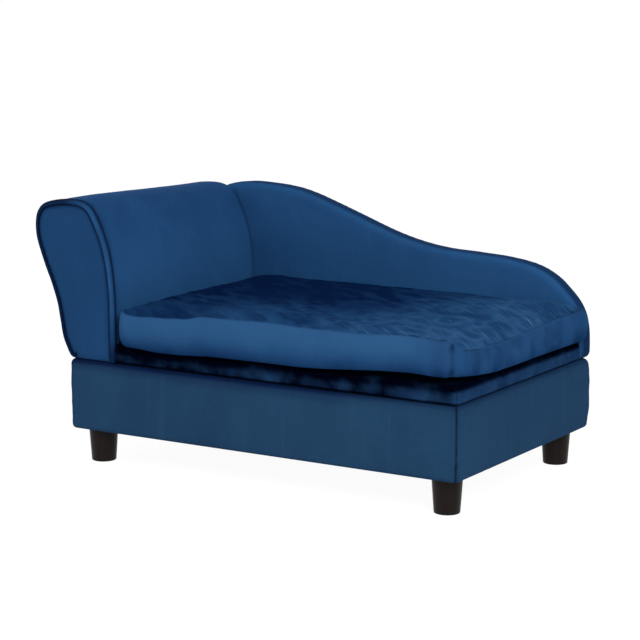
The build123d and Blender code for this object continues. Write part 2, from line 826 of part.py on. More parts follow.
zip_length = 400.0
zip_groove_height = 16.0
zip_groove_depth = 4.0
zip_tape_height = 14.0
zip_tape_thickness = 0.8
zip_coil_height = 3.0
zip_coil_thickness = 1.2
zip_stop_length = 4.0
zip_slider_length = 10.0
zip_slider_height = 8.0
zip_slider_thickness = 2.8
zip_slider_play = 0.2

zip_middle_x = (cushion_left + cushion_right) / 2
zip_z = (cushion_bottom + cushion_seam) / 2
zip_floor = cushion_rear - zip_groove_depth
zip_coil_y = zip_floor + zip_tape_thickness


def zip_bar(x_from, x_to, y_from, y_to, height):
    return block(x_from, x_to, y_from, y_to, zip_z - height / 2, zip_z + height / 2)


def make_cushion():
    cover = cushion_form(0) - cushion_form(cushion_wall)
    x_from = zip_middle_x - zip_length / 2
    x_to = zip_middle_x + zip_length / 2
    cover -= zip_bar(x_from, x_to, zip_floor, cushion_rear + overrun, zip_groove_height)
    save("cushion_cover", cover)
    save("cushion_foam", cushion_form(cushion_wall + layer_gap))


def make_zip():
    x_from = zip_middle_x - zip_length / 2 + layer_gap
    x_to = zip_middle_x + zip_length / 2 - layer_gap
    coil_end = zip_coil_y + zip_coil_thickness
    save("zip_tape", zip_bar(x_from, x_to, zip_floor, zip_coil_y, zip_tape_height))
    coil_from = x_from + zip_stop_length
    coil_to = x_to - zip_stop_length
    save("zip_coil", zip_bar(coil_from, coil_to, zip_coil_y, coil_end, zip_coil_height))
    stops = [
        zip_bar(x_from, coil_from, zip_coil_y, coil_end, zip_slider_height),
        zip_bar(coil_to, x_to, zip_coil_y, coil_end, zip_slider_height),
    ]
    save("zip_stops", Compound(children=stops))
    slider_y = zip_coil_y + zip_slider_play
    slider = zip_bar(
        coil_from, coil_from + zip_slider_length, slider_y, slider_y + zip_slider_thickness, zip_slider_height
    )
    slider -= zip_bar(
        coil_from - overrun, coil_from + zip_slider_length + overrun,
        zip_coil_y - overrun, coil_end + zip_slider_play, zip_coil_height + 2 * zip_slider_play,
    )
    save("zip_slider", slider)


os.makedirs("parts", exist_ok=True)
make_legs()
make_box_boards()
make_base_cover()
make_linings()
make_hinges()
make_stays()
make_deck_boards()
make_deck_cover()
make_arm()
make_arm_front()
make_back()
make_cushion()
make_zip()
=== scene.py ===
import json
import math
import bpy
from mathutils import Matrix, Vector, noise
from mathutils.geometry import interpolate_bezier


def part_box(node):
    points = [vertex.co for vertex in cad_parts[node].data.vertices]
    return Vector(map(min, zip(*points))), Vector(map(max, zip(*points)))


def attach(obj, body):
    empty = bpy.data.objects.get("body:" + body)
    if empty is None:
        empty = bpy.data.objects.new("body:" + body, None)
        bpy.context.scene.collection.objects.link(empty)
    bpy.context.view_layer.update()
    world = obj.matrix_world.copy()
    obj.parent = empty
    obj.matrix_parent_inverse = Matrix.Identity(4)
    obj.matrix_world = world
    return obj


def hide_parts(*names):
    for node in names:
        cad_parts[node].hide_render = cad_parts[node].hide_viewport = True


# Dresses a small velvet pet chaise with a lift-up seat and a loose cushion
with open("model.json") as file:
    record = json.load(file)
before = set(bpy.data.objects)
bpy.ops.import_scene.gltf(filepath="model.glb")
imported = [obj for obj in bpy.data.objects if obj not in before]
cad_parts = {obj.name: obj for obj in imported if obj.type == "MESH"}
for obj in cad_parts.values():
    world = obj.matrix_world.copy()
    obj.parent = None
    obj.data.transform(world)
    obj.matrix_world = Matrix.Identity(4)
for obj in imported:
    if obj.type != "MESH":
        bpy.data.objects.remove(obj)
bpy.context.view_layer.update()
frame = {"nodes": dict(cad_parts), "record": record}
print("frame loaded:", len(frame["nodes"]), "nodes")


# small helpers for modelling

def setMode(mode):
    bpy.ops.object.mode_set(mode=mode)


def clearSelection():
    if bpy.context.object and bpy.context.object.mode != "OBJECT":
        setMode("OBJECT")
    bpy.ops.object.select_all(action="DESELECT")


def focus(piece):
    clearSelection()
    bpy.context.view_layer.objects.active = piece
    piece.select_set(True)


def editAll(piece):
    focus(piece)
    setMode("EDIT")
    bpy.ops.mesh.select_all(action="SELECT")


def nameIt(name):
    piece = bpy.context.object
    piece.name = name
    piece.data.name = name
    return piece


def addBlock(name, low, high):
    clearSelection()
    bpy.ops.mesh.primitive_cube_add(size=1, location=[(a + b) / 2 for a, b in zip(low, high)])
    piece = nameIt(name)
    piece.scale = [b - a for a, b in zip(low, high)]
    focus(piece)
    bpy.ops.object.transform_apply(location=True, rotation=True, scale=True)
    return piece


def addRings(name, rings, capped=True):
    # a cylinder cut into rings, each ring then moved to its own outline
    around = len(rings[0])
    clearSelection()
    bpy.ops.mesh.primitive_cylinder_add(vertices=around, radius=1, depth=1,
                                        end_fill_type="NGON" if capped else "NOTHING")
    piece = nameIt(name)
    pickEdges(piece, lambda a, b: abs(a.z - b.z) > 0.5)
    bpy.ops.mesh.subdivide(number_cuts=len(rings) - 2)
    setMode("OBJECT")
    for point in piece.data.vertices:
        level = round((point.co.z + 0.5) * (len(rings) - 1))
        turn = math.atan2(point.co.x, point.co.y) / (2 * math.pi)
        point.co = rings[level][round(turn * around) % around]
    tidyNormals(piece)
    return piece


def roundOver(radius, edge, side, steps=6):
    # places from a flat face over a rounded edge onto the side, (inset, place)
    turns = [math.pi / 2 * k / steps for k in range(steps + 1)]
    return [(radius * (1 - math.sin(turn)), edge - side * radius * (1 - math.cos(turn)))
            for turn in turns]


def roundedLoop(low, high, radius, inset, steps=10):
    # a rounded oblong in plan, drawn in by the inset, its corner points always in step
    least = 0.0003
    bend, reach = max(radius - inset, least), max(radius, inset + least)
    left, right, front, rear = low.x + reach, high.x - reach, low.y + reach, high.y - reach
    points = []
    for x, y, turn in ((right, rear, 90), (right, front, 0),
                       (left, front, -90), (left, rear, -180)):
        for k in range(steps + 1):
            angle = math.radians(turn - 90 * k / steps)
            points.append((x + bend * math.cos(angle), y + bend * math.sin(angle)))
    return points


def addSheet(name, columns, rows, place):
    # a grid whose points are moved onto a surface, place takes two shares
    clearSelection()
    bpy.ops.mesh.primitive_grid_add(x_subdivisions=columns, y_subdivisions=rows, size=1)
    piece = nameIt(name)
    for point in piece.data.vertices:
        point.co = place(point.co.x + 0.5, point.co.y + 0.5)
    return piece


def edgeReach(loop, place):
    return min(math.hypot(point.x - place.x, point.z - place.z) for point in loop)


def addPlate(name, loop, yFront, yRear, rounding, step, puff=0.0):
    # a flat pad of one outline with a rounded front edge and a soft, filled face
    turns = inwardTurns(loop, closed=True)
    piece = addRings(name, [
        [Vector((point.x + turn.x * inset, y, point.z + turn.z * inset))
         for point, turn in zip(loop, turns)]
        for inset, y in ((0, yRear), (0, yFront + rounding),
                         (0.3 * rounding, yFront + 0.3 * rounding), (rounding, yFront))])
    gridCuts(piece, step, 0, 2)

    def fill(place, normal):
        if place.y <= yFront + 0.0001:
            swell = 0.8 + 0.4 * rough((place.x, 0, place.z), 14, 2)
            place.y -= puff * ease(edgeReach(loop, place), 0.001, 0.035) * swell
        return place
    if puff:
        movePoints(piece, fill)
    return piece


def tidyNormals(piece):
    editAll(piece)
    bpy.ops.mesh.remove_doubles(threshold=0.000005)
    bpy.ops.mesh.normals_make_consistent(inside=False)
    setMode("OBJECT")


def startPicking(piece, kind):
    focus(piece)
    setMode("EDIT")
    bpy.ops.mesh.select_mode(type=kind)
    bpy.ops.mesh.select_all(action="DESELECT")
    setMode("OBJECT")


def pickEdges(piece, test):
    startPicking(piece, "EDGE")
    points = piece.data.vertices
    for edge in piece.data.edges:
        start, end = edge.vertices
        edge.select = test(points[start].co, points[end].co)
    setMode("EDIT")


def bevelEdges(piece, test, radius, steps):
    pickEdges(piece, test)
    bpy.ops.mesh.bevel(offset=radius, segments=steps, profile=0.5)
    setMode("OBJECT")


def deleteFaces(piece, test):
    startPicking(piece, "FACE")
    for face in piece.data.polygons:
        face.select = test(face.center, face.normal)
    setMode("EDIT")
    bpy.ops.mesh.delete(type="FACE")
    setMode("OBJECT")


def onAxis(axis, value):
    return [value if k == axis else 0 for k in range(3)]


def cutAt(piece, axis, *places):
    editAll(piece)
    for place in places:
        bpy.ops.mesh.select_all(action="SELECT")
        bpy.ops.mesh.bisect(plane_co=onAxis(axis, place), plane_no=onAxis(axis, 1))
    setMode("OBJECT")


def gridCuts(piece, step, *axes):
    # even cuts square to each axis, about a step apart
    for axis in axes:
        values = [point.co[axis] for point in piece.data.vertices]
        low, high = min(values), max(values)
        count = max(2, round((high - low) / step))
        cutAt(piece, axis, *[low + (high - low) * i / count for i in range(1, count)])


def applyModifier(piece, kind, **values):
    focus(piece)
    bpy.ops.object.modifier_add(type=kind)
    modifier = piece.modifiers[-1]
    for key, value in values.items():
        setattr(modifier, key, value)
    bpy.ops.object.modifier_apply(modifier=modifier.name)


def addSkin(piece, thickness):
    # wall thickness goes inwards, away from the faces' fronts
    applyModifier(piece, "SOLIDIFY", thickness=thickness, offset=-1, use_even_offset=False)


def addRow(piece, count, step):
    applyModifier(piece, "ARRAY", count=count, use_relative_offset=False,
                  use_constant_offset=True, constant_offset_displace=step)


def movePoints(piece, move):
    # move gets place and normal and returns the new place
    normals = [point.normal.copy() for point in piece.data.vertices]
    for point, normal in zip(piece.data.vertices, normals):
        point.co = move(point.co.copy(), normal)
    piece.data.update()


def paintPoints(piece, name, shares):
    # a share from 0 to 1 for each point, as a list or worked out from its place
    if callable(shares):
        shares = [shares(point.co) for point in piece.data.vertices]
    layer = piece.data.attributes.new(name=name, type="FLOAT", domain="POINT")
    layer.data.foreach_set("value", shares)


def ease(value, start, end):
    share = min(max((value - start) / (end - start), 0), 1)
    return share * share * (3 - 2 * share)


def arch(share):
    # nothing at both ends, 1 in the middle
    return 4 * max(share * (1 - share), 0)


def bell(distance, width):
    return math.exp(-(distance / width) ** 2)


def follow(table, value):
    # smooth steps between the entries of a table of (place, amount) in mm
    value *= 1000
    for (start, low), (end, high) in zip(table, table[1:]):
        if value < end:
            return (low + (high - low) * ease(value, start, end)) / 1000
    return table[-1][1] / 1000


def rough(place, scale, seed=0):
    # smooth noise from -1 to 1
    return noise.noise(Vector(place) * scale + Vector((seed, seed * 1.7, -seed)))


def ripples(place, *layers):
    # each layer of smooth noise has an amount, a scale and a seed
    return sum(amount * rough(place, scale, seed) for amount, scale, seed in layers)


def folds(place, scale, seed=0):
    # sharp little ridges from 0 to 1
    return (1 - abs(rough(place, scale, seed))) ** 4


def smoothLine(points, count):
    # even steps along a smooth line through (x, z) points, with each step's
    # place in the list of points
    line = [Vector((x, 0, z)) for x, z in points]
    dense = []
    for i in range(len(line) - 1):
        start, end = line[i:i + 2]
        reach = (end - start).length / 3
        leave = start + (end - line[max(i - 1, 0)]).normalized() * reach
        arrive = end - (line[min(i + 2, len(line) - 1)] - start).normalized() * reach
        steps = interpolate_bezier(start, leave, arrive, end, 17)
        dense += [(steps[k], i + k / 16) for k in range(16)]
    return evenSteps(dense + [(line[-1], len(line) - 1)], count, count - 1)


def evenSteps(dense, count, parts):
    # places a whole number of parts of the line apart, and their spots on it
    reach = [0]
    for (a, _), (b, _) in zip(dense, dense[1:]):
        reach.append(reach[-1] + (b - a).length)
    line, spots = [], []
    k = 0
    for i in range(count):
        goal = reach[-1] * i / parts
        while k < len(reach) - 2 and reach[k + 1] < goal:
            k += 1
        share = (goal - reach[k]) / max(reach[k + 1] - reach[k], 1e-9)
        (a, spotA), (b, spotB) = dense[k], dense[k + 1]
        line.append(a.lerp(b, share))
        spots.append(spotA + (spotB - spotA) * share)
    return line, spots


def inwardTurns(line, closed=False):
    # square to a line in the xz plane that runs clockwise as seen from the front
    turns = []
    for i, point in enumerate(line):
        before = line[i - 1] if i or closed else point
        after = line[(i + 1) % len(line)] if closed or i + 1 < len(line) else point
        run = (after - before).normalized()
        turns.append(Vector((run.z, 0, -run.x)))
    return turns


def drawIn(line, insets):
    return [point + inward * inset
            for point, inward, inset in zip(line, inwardTurns(line), insets)]


# finishes

def setInputs(node, inputs):
    # an input gets a plain value or the output of another node
    for key, value in inputs.items():
        if isinstance(value, bpy.types.NodeSocket):
            node.id_data.links.new(value, node.inputs[key])
        else:
            node.inputs[key].default_value = value


def addNode(tree, kind, x, y, inputs=None, **settings):
    node = tree.nodes.new(kind)
    node.location = (x, y)
    for key, value in settings.items():
        setattr(node, key, value)
    setInputs(node, inputs or {})
    return node


def addMath(tree, x, y, operation, *terms):
    return addNode(tree, "ShaderNodeMath", x, y, dict(enumerate(terms)),
                   operation=operation).outputs[0]


def addMix(tree, x, y, factor, a, b, blend="MIX"):
    return addNode(tree, "ShaderNodeMix", x, y, {0: factor, 6: a, 7: b},
                   data_type="RGBA", blend_type=blend).outputs[2]


def addNoise(tree, x, y, **inputs):
    return addNode(tree, "ShaderNodeTexNoise", x, y, inputs).outputs["Fac"]


def addRange(tree, x, y, value, low=0, high=1, start=0, end=1):
    return addNode(tree, "ShaderNodeMapRange", x, y, {
        "Value": value, "From Min": low, "From Max": high, "To Min": start, "To Max": end,
    }).outputs["Result"]


def startGroup(name, values):
    # an input for each value, and colour, roughness and normal as outputs
    group = bpy.data.node_groups.new(name, "ShaderNodeTree")
    colour, number, vector = "NodeSocketColor", "NodeSocketFloat", "NodeSocketVector"
    for label, value in values.items():
        kind = number if isinstance(value, float) else (colour if len(value) == 4 else vector)
        socket = group.interface.new_socket(name=label, in_out="INPUT", socket_type=kind)
        socket.default_value = value
    for label, kind in (("Colour", colour), ("Roughness", number), ("Normal", vector)):
        group.interface.new_socket(name=label, in_out="OUTPUT", socket_type=kind)
    return group, addNode(group, "NodeGroupInput", -1600, 0).outputs


def endGroup(group, colour, roughness, bump):
    relief = addNode(group, "ShaderNodeBump", 0, -500, bump).outputs["Normal"]
    addNode(group, "NodeGroupOutput", 900, 0,
            {"Colour": colour, "Roughness": roughness, "Normal": relief})
    return group


velvet = {
    "Colour": (0.0122, 0.0570, 0.156, 1), "Dark": (0.0070, 0.034, 0.104, 1),
    "Light": (0.026, 0.105, 0.250, 1), "Patch Scale": 8.0, "Patch Amount": 0.46,
    "Streak Turn": (0, 0, 0), "Streak Size": (0.017, 0.017, 0.22), "Streak Amount": 0.14,
    "Nap Scale": 620.0, "Nap Height": 0.3,
}
velvetGloss = {
    "Sheen Weight": 0.07, "Sheen Tint": (0.10, 0.36, 0.95, 1), "Sheen Roughness": 0.35,
    "Specular IOR Level": 0.02,
}
# painted masks: shade is painted shade, on some pieces mixed with uneven tone of the pile; glow is
# painted light; seam is a sewn line, with painted shade in the crease beside some
velvetMasks = {
    "shade": (0.0022, 0.0085, 0.036, 1), "glow": (0.030, 0.118, 0.28, 1),
    "seam": (0.001, 0.003, 0.011, 1),
}
grained = {
    "Colour": (0.5, 0.4, 0.3, 1), "Second": (0.4, 0.3, 0.2, 1), "Stretch": (1, 1, 1),
    "Scale": 60.0, "Contrast": 0.5, "Roughness Low": 0.4, "Roughness High": 0.6, "Relief": 0.2,
}


def makePileGroup():
    # crushed pile: broad lighter and darker patches, fine streaks and a short nap
    group, given = startGroup("velvetPile", velvet)
    place = addNode(group, "ShaderNodeTexCoord", -1600, -400).outputs["Object"]
    patch = addNoise(group, -1200, 300, Vector=place, Scale=given["Patch Scale"],
                     Detail=4, Roughness=0.6, Distortion=0.9)
    # darker where the pile lies away
    away = addMath(group, -800, 300, "SUBTRACT", 1, addRange(group, -1000, 300, patch, 0.36, 0.66))
    away = addMath(group, -600, 300, "MULTIPLY", away, given["Patch Amount"])
    colour = addMix(group, -400, 200, away, given["Colour"], given["Dark"])
    # streaks where it was stroked
    turned = addNode(group, "ShaderNodeMapping", -1400, -100, {
        "Vector": place, "Rotation": given["Streak Turn"], "Scale": given["Streak Size"],
    }, vector_type="TEXTURE").outputs["Vector"]
    streak = addNoise(group, -1200, -100, Vector=turned, Scale=1, Detail=3, Roughness=0.65,
                      Distortion=0.35)
    mask = addMath(group, -800, -100, "MULTIPLY",
                   addRange(group, -1000, -100, streak, 0.54, 0.78), given["Streak Amount"])
    colour = addMix(group, -200, 200, mask, colour, given["Light"])
    # short nap
    nap = addNoise(group, -1200, -500, Vector=place, Scale=given["Nap Scale"],
                   Detail=2, Roughness=0.6)
    napLight = addRange(group, -600, -400, nap, start=0.82, end=1.18)
    colour = addMix(group, 0, 200, 1, colour, napLight, "MULTIPLY")
    roughness = addRange(group, 0, -100, patch, start=0.7, end=0.9)
    # relief of nap and streaks together
    relief = addMath(group, -400, -600, "MULTIPLY_ADD", streak, 0.8, nap)
    return endGroup(group, colour, roughness,
                    {"Strength": given["Nap Height"], "Height": relief, "Distance": 0.0006})


def makeGrainGroup():
    # fine noise along a direction, for wood, lacquer, brushed metal and cloth
    group, given = startGroup("fineGrain", grained)
    place = addNode(group, "ShaderNodeTexCoord", -1600, -300).outputs["Object"]
    stretched = addNode(group, "ShaderNodeMapping", -1400, -300, {
        "Vector": place, "Scale": given["Stretch"]}).outputs["Vector"]
    grain = addNoise(group, -1200, -100, Vector=stretched, Scale=given["Scale"],
                     Detail=5, Roughness=0.6, Distortion=0.2)
    share = addMath(group, -800, 0, "MULTIPLY",
                    addRange(group, -1000, 0, grain, 0.3, 0.7), given["Contrast"])
    colour = addMix(group, -500, 100, share, given["Colour"], given["Second"])
    roughness = addRange(group, -500, -200, grain, start=given["Roughness Low"],
                         end=given["Roughness High"])
    return endGroup(group, colour, roughness,
                    {"Strength": given["Relief"], "Height": grain, "Distance": 0.0004})


pileGroup = makePileGroup()
grainGroup = makeGrainGroup()
strokeTurn = -0.60  # the way the cushion's top was brushed


def startMaterial(name):
    material = bpy.data.materials.new(name)
    material.use_nodes = True
    return material, material.node_tree, material.node_tree.nodes["Principled BSDF"]


def makeVelvet(name, changes, stroked=False):
    values = {**velvet, **velvetGloss, **velvetMasks, **changes}
    material, tree, shader = startMaterial(name)
    given = {key: values[key] for key in velvet}
    if stroked:
        brushed = addNode(tree, "ShaderNodeAttribute", -1400, -100, attribute_name="stroked")
        given["Streak Amount"] = addMath(tree, -1150, -100, "MULTIPLY", brushed.outputs["Fac"],
                                         given["Streak Amount"])
    pile = addNode(tree, "ShaderNodeGroup", -900, 0, given, node_tree=pileGroup).outputs
    colour = pile["Colour"]
    for k, mask in enumerate(velvetMasks):
        paint = addNode(tree, "ShaderNodeAttribute", 200 * k - 600, 400, attribute_name=mask)
        colour = addMix(tree, 200 * k - 420, 200, paint.outputs["Fac"], colour, values[mask])
    setInputs(shader, {"Base Color": colour, "Roughness": pile["Roughness"],
                       "Normal": pile["Normal"], **{key: values[key] for key in velvetGloss}})
    return material


def makeGrained(name, changes, metallic=0.0, specular=0.5):
    material, tree, shader = startMaterial(name)
    grain = addNode(tree, "ShaderNodeGroup", -500, 0, {**grained, **changes},
                    node_tree=grainGroup).outputs
    setInputs(shader, {"Base Color": grain["Colour"], "Roughness": grain["Roughness"],
                       "Normal": grain["Normal"], "Metallic": metallic,
                       "Specular IOR Level": specular})
    return material


finishes = {
    "velvet": makeVelvet("velvetPanels", {}),
    # a darker copy of the velvet for the arm panel: painted shade against the stronger light on
    # its front face
    "panelVelvet": makeVelvet("velvetArmPanel", {
        "Colour": (0.0098, 0.0445, 0.122, 1), "Dark": (0.0075, 0.035, 0.100, 1),
        "Light": (0.018, 0.075, 0.185, 1)}),
    "borderVelvet": makeVelvet("velvetBorder", {
        "Colour": (0.0085, 0.040, 0.115, 1), "Patch Scale": 30.0,
        "shade": (0.0008, 0.0030, 0.016, 1), "glow": (0.022, 0.085, 0.21, 1)}),
    "cushionVelvet": makeVelvet("velvetCushion", {
        "Colour": (0.0125, 0.0520, 0.138, 1), "Light": (0.078, 0.200, 0.36, 1),
        "Patch Scale": 12.0, "Patch Amount": 0.65, "Streak Turn": (0, 0, strokeTurn),
        "Streak Size": (0.075, 0.0042, 0.05), "Streak Amount": 0.85, "Sheen Weight": 0.04,
        "Specular IOR Level": 0.0, "shade": (0.0010, 0.0072, 0.038, 1),
        "glow": (0.0270, 0.090, 0.205, 1)}, stroked=True),
    "baseVelvet": makeVelvet("velvetBase", {
        "Colour": (0.0132, 0.0445, 0.096, 1), "Dark": (0.0095, 0.034, 0.080, 1),
        "Light": (0.024, 0.078, 0.170, 1), "Patch Scale": 6.5, "Patch Amount": 0.62,
        "Streak Size": (0.012, 0.012, 0.25), "Streak Amount": 0.20}),
    # the deck's shade colour is near black, for the painted shadow under the cushion's overhang
    "deckVelvet": makeVelvet("velvetDeck", {
        "Colour": (0.0128, 0.0435, 0.110, 1), "Dark": (0.0070, 0.0250, 0.078, 1),
        "Light": (0.025, 0.085, 0.190, 1), "Patch Scale": 34.0, "Patch Amount": 0.70,
        "Streak Size": (0.015, 0.015, 0.03), "Streak Amount": 0.15, "Sheen Weight": 0.03,
        "Specular IOR Level": 0.0, "shade": (0.0003, 0.0007, 0.0042, 1)}),
    "lining": makeGrained("blackNonwoven", {
        "Colour": (0.026, 0.026, 0.029, 1), "Second": (0.05, 0.05, 0.055, 1), "Scale": 900.0,
        "Contrast": 0.6, "Roughness Low": 0.8, "Roughness High": 0.95, "Relief": 0.35}),
    "foam": makeGrained("creamFoam", {
        "Colour": (0.80, 0.74, 0.52, 1), "Second": (0.66, 0.58, 0.36, 1), "Scale": 700.0,
        "Contrast": 0.7, "Roughness Low": 0.85, "Roughness High": 0.95, "Relief": 0.6}),
    "wood": makeGrained("rawPlywood", {
        "Colour": (0.50, 0.34, 0.18, 1), "Second": (0.34, 0.21, 0.10, 1), "Stretch": (1, 6, 6),
        "Scale": 18.0, "Contrast": 0.8, "Roughness Low": 0.55, "Roughness High": 0.75,
        "Relief": 0.25}),
    "leg": makeGrained("darkLacquer", {
        "Colour": (0.0058, 0.0036, 0.0030, 1), "Second": (0.0115, 0.0076, 0.0060, 1),
        "Stretch": (9, 9, 1), "Scale": 22.0, "Contrast": 0.8, "Roughness Low": 0.32,
        "Roughness High": 0.48, "Relief": 0.15}, specular=0.10),
    "zinc_steel": makeGrained("zincSteel", {
        "Colour": (0.62, 0.62, 0.62, 1), "Second": (0.44, 0.44, 0.43, 1), "Stretch": (1, 8, 8),
        "Scale": 160.0, "Contrast": 0.8, "Roughness Low": 0.25, "Roughness High": 0.42,
        "Relief": 0.12}, metallic=1.0),
    "stay_steel": makeGrained("blackStaySteel", {
        "Colour": (0.028, 0.028, 0.03, 1), "Second": (0.042, 0.042, 0.045, 1), "Scale": 420.0,
        "Contrast": 0.7, "Roughness Low": 0.35, "Roughness High": 0.5}),
    "zip_tape": makeGrained("navyTape", {
        "Colour": (0.010, 0.026, 0.075, 1), "Second": (0.022, 0.05, 0.12, 1), "Scale": 1500.0,
        "Contrast": 0.8, "Roughness Low": 0.7, "Roughness High": 0.85, "Relief": 0.5}),
    "zip_metal": makeGrained("navyLacquer", {
        "Colour": (0.018, 0.028, 0.058, 1), "Second": (0.03, 0.045, 0.085, 1), "Scale": 300.0,
        "Contrast": 0.6, "Roughness Low": 0.28, "Roughness High": 0.4, "Relief": 0.1}),
}
print("finishes made:", len(finishes))


def giveFinish(thing, finish):
    thing.data.materials.clear()
    thing.data.materials.append(finishes[finish])


def dress(piece, finish, body, node=None, smooth=50):
    focus(piece)
    bpy.ops.object.shade_smooth_by_angle(angle=math.radians(smooth))
    giveFinish(piece, finish)
    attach(piece, body)
    if node:
        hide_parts(node)


# shared by several pieces, the places are read from the frame

baseLow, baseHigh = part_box("base_cover")
deckLow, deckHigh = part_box("deck_cover")
boardLow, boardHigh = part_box("deck_board")
armLow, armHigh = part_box("arm_cover")
borderLow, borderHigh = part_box("arm_border")
backLow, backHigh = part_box("back_cover")
seamZ = deckLow.z  # underside of the lid
seamSlant = 0.75  # a corner's sewn line as seen square to both faces


# storage box

baseVelvet = {
    "cornerRadius": 0.010, "topRadius": 0.0085, "hemRadius": 0.0065, "topRim": 0.0176,
    "hemFold": 0.024, "step": 0.006, "skin": 0.0015, "puff": 0.0028, "rightBulge": 0.0042,
    "uneven": ((0.0007, 9, 3), (0.0003, 30, 5)), "pucker": 0.0010, "puckerReach": 0.012,
    "swellReach": 0.07, "bulgeReach": 0.17, "cornerReach": 0.011, "seamDepth": 0.0013,
    "seamWidth": 0.0012, "seamShadeWidth": 0.0055, "seamShade": 0.36, "duskReach": 0.30,
    "duskBand": 0.024, "dusk": 0.48, "rimDusk": (0.25, 0.40), "footDusk": 0.15, "mottle": 0.10,
}


def makeBaseVelvet():
    values = baseVelvet
    low, high = baseLow, baseHigh
    profile = [(values["topRim"], high.z)] + roundOver(values["topRadius"], high.z, 1)
    profile += roundOver(values["hemRadius"], low.z, -1)[::-1] + [(values["hemFold"], low.z)]
    piece = addRings("base_velvet", [
        [Vector((x, y, z)) for x, y in roundedLoop(low, high, values["cornerRadius"], inset)]
        for inset, z in profile], capped=False)
    gridCuts(piece, values["step"], 0, 1, 2)
    tidyNormals(piece)
    middle, half = (low + high) / 2, (high - low) / 2

    def seamReach(place):
        # distance from the sewn line of the nearest corner, or a lot
        reachX = abs(place.x - middle.x) - half.x
        reachY = abs(place.y - middle.y) - half.y
        if min(reachX, reachY) < -values["cornerReach"]:
            return 1
        return abs(abs(reachX) - abs(reachY)) * seamSlant

    def puffOut(place, normal):
        flat = Vector((normal.x, normal.y, 0))
        if flat.length < 0.3:
            return place
        height = (place.z - low.z) / (high.z - low.z)
        fromCorner = max(min(place.x - low.x, high.x - place.x),
                         min(place.y - low.y, high.y - place.y))
        swell = arch(height) ** 0.6 * (0.45 + 0.55 * ease(fromCorner, 0, values["swellReach"]))
        bulge = (ease(place.x, high.x - 0.02, high.x - 0.004)
                 * ease(place.y, 0, values["bulgeReach"]) * arch(height) ** 0.5)
        pull = (values["pucker"] * rough((0, 0, place.z), 75, 11 + place.x)
                * bell(fromCorner - values["puckerReach"], values["puckerReach"]))
        shift = values["puff"] * swell + values["rightBulge"] * bulge
        shift += ((ripples(place, *values["uneven"]) + pull)
                  * ease(height, 0, 0.15) * ease(1 - height, 0, 0.12))
        shift *= 1 - ease(normal.y, 0.35, 0.85)  # flat behind, where the hinges lie
        groove = (values["seamDepth"] * bell(seamReach(place), values["seamWidth"])
                  * ease(high.z - place.z, 0.006, 0.016))
        return place + flat.normalized() * (shift - groove)
    movePoints(piece, puffOut)

    def sewn(place):
        reach, across = seamReach(place), (0, 0, place.z)
        # painted shade in the crease beside the corner's sewn line
        seamShade = values["seamShade"] * bell(reach, values["seamShadeWidth"])
        return (bell(reach, 0.0016) * (0.65 + 0.35 * rough(across, 160))
                + seamShade * (0.65 + 0.5 * rough(across, 60)))
    paintPoints(piece, "seam", sewn)

    def dusk(place):
        # painted shade under the lid, least at the right, and along the foot, with uneven tone of
        # the pile
        side = 1 - 0.75 * ease(place.x, high.x - values["duskReach"], high.x - 0.02)
        band = high.z - values["duskBand"] - 0.007 * rough((place.x, place.y, 0), 16, 8)
        least, more = values["rimDusk"]
        share = values["dusk"] * side * ease(place.z, band, high.z - 0.006)
        share += (least + more * side) * ease(place.z, high.z - 0.009, high.z - 0.002)
        share += values["footDusk"] * ease(low.z + 0.01 - place.z, 0, 0.01)
        return min(1, share + values["mottle"] * rough(place, 14, 5))
    paintPoints(piece, "shade", dusk)
    addSkin(piece, values["skin"])
    dress(piece, "baseVelvet", "base", "base_cover", smooth=60)


makeBaseVelvet()
print("storage box covered")


# seat deck

deckVelvet = {
    "cornerRadius": 0.010, "topRadius": 0.008, "hemRadius": 0.005, "fold": 0.024,
    "rim": 0.0105, "corner": 0.011, "step": 0.006, "skin": 0.0015, "puff": 0.0016,
    "wrinkle": 0.0006, "topRoom": 0.0002, "seamDepth": 0.001, "seamWidth": 0.0012,
    # painted shadow under the cushion's overhang: its share everywhere, at the front, on the top
    # rim, how far in it reaches and how much it fades inside
    "endCalm": 0.02, "cushionShadow": 0.18, "cushionShadowFront": (0.38, 0.08, 0.24), "cushionShadowTop": 0.88,
    "cushionShadowReach": 0.062, "innerFade": 0.78, "uneven": ((1, 34, 31), (0.5, 90, 17)),
}


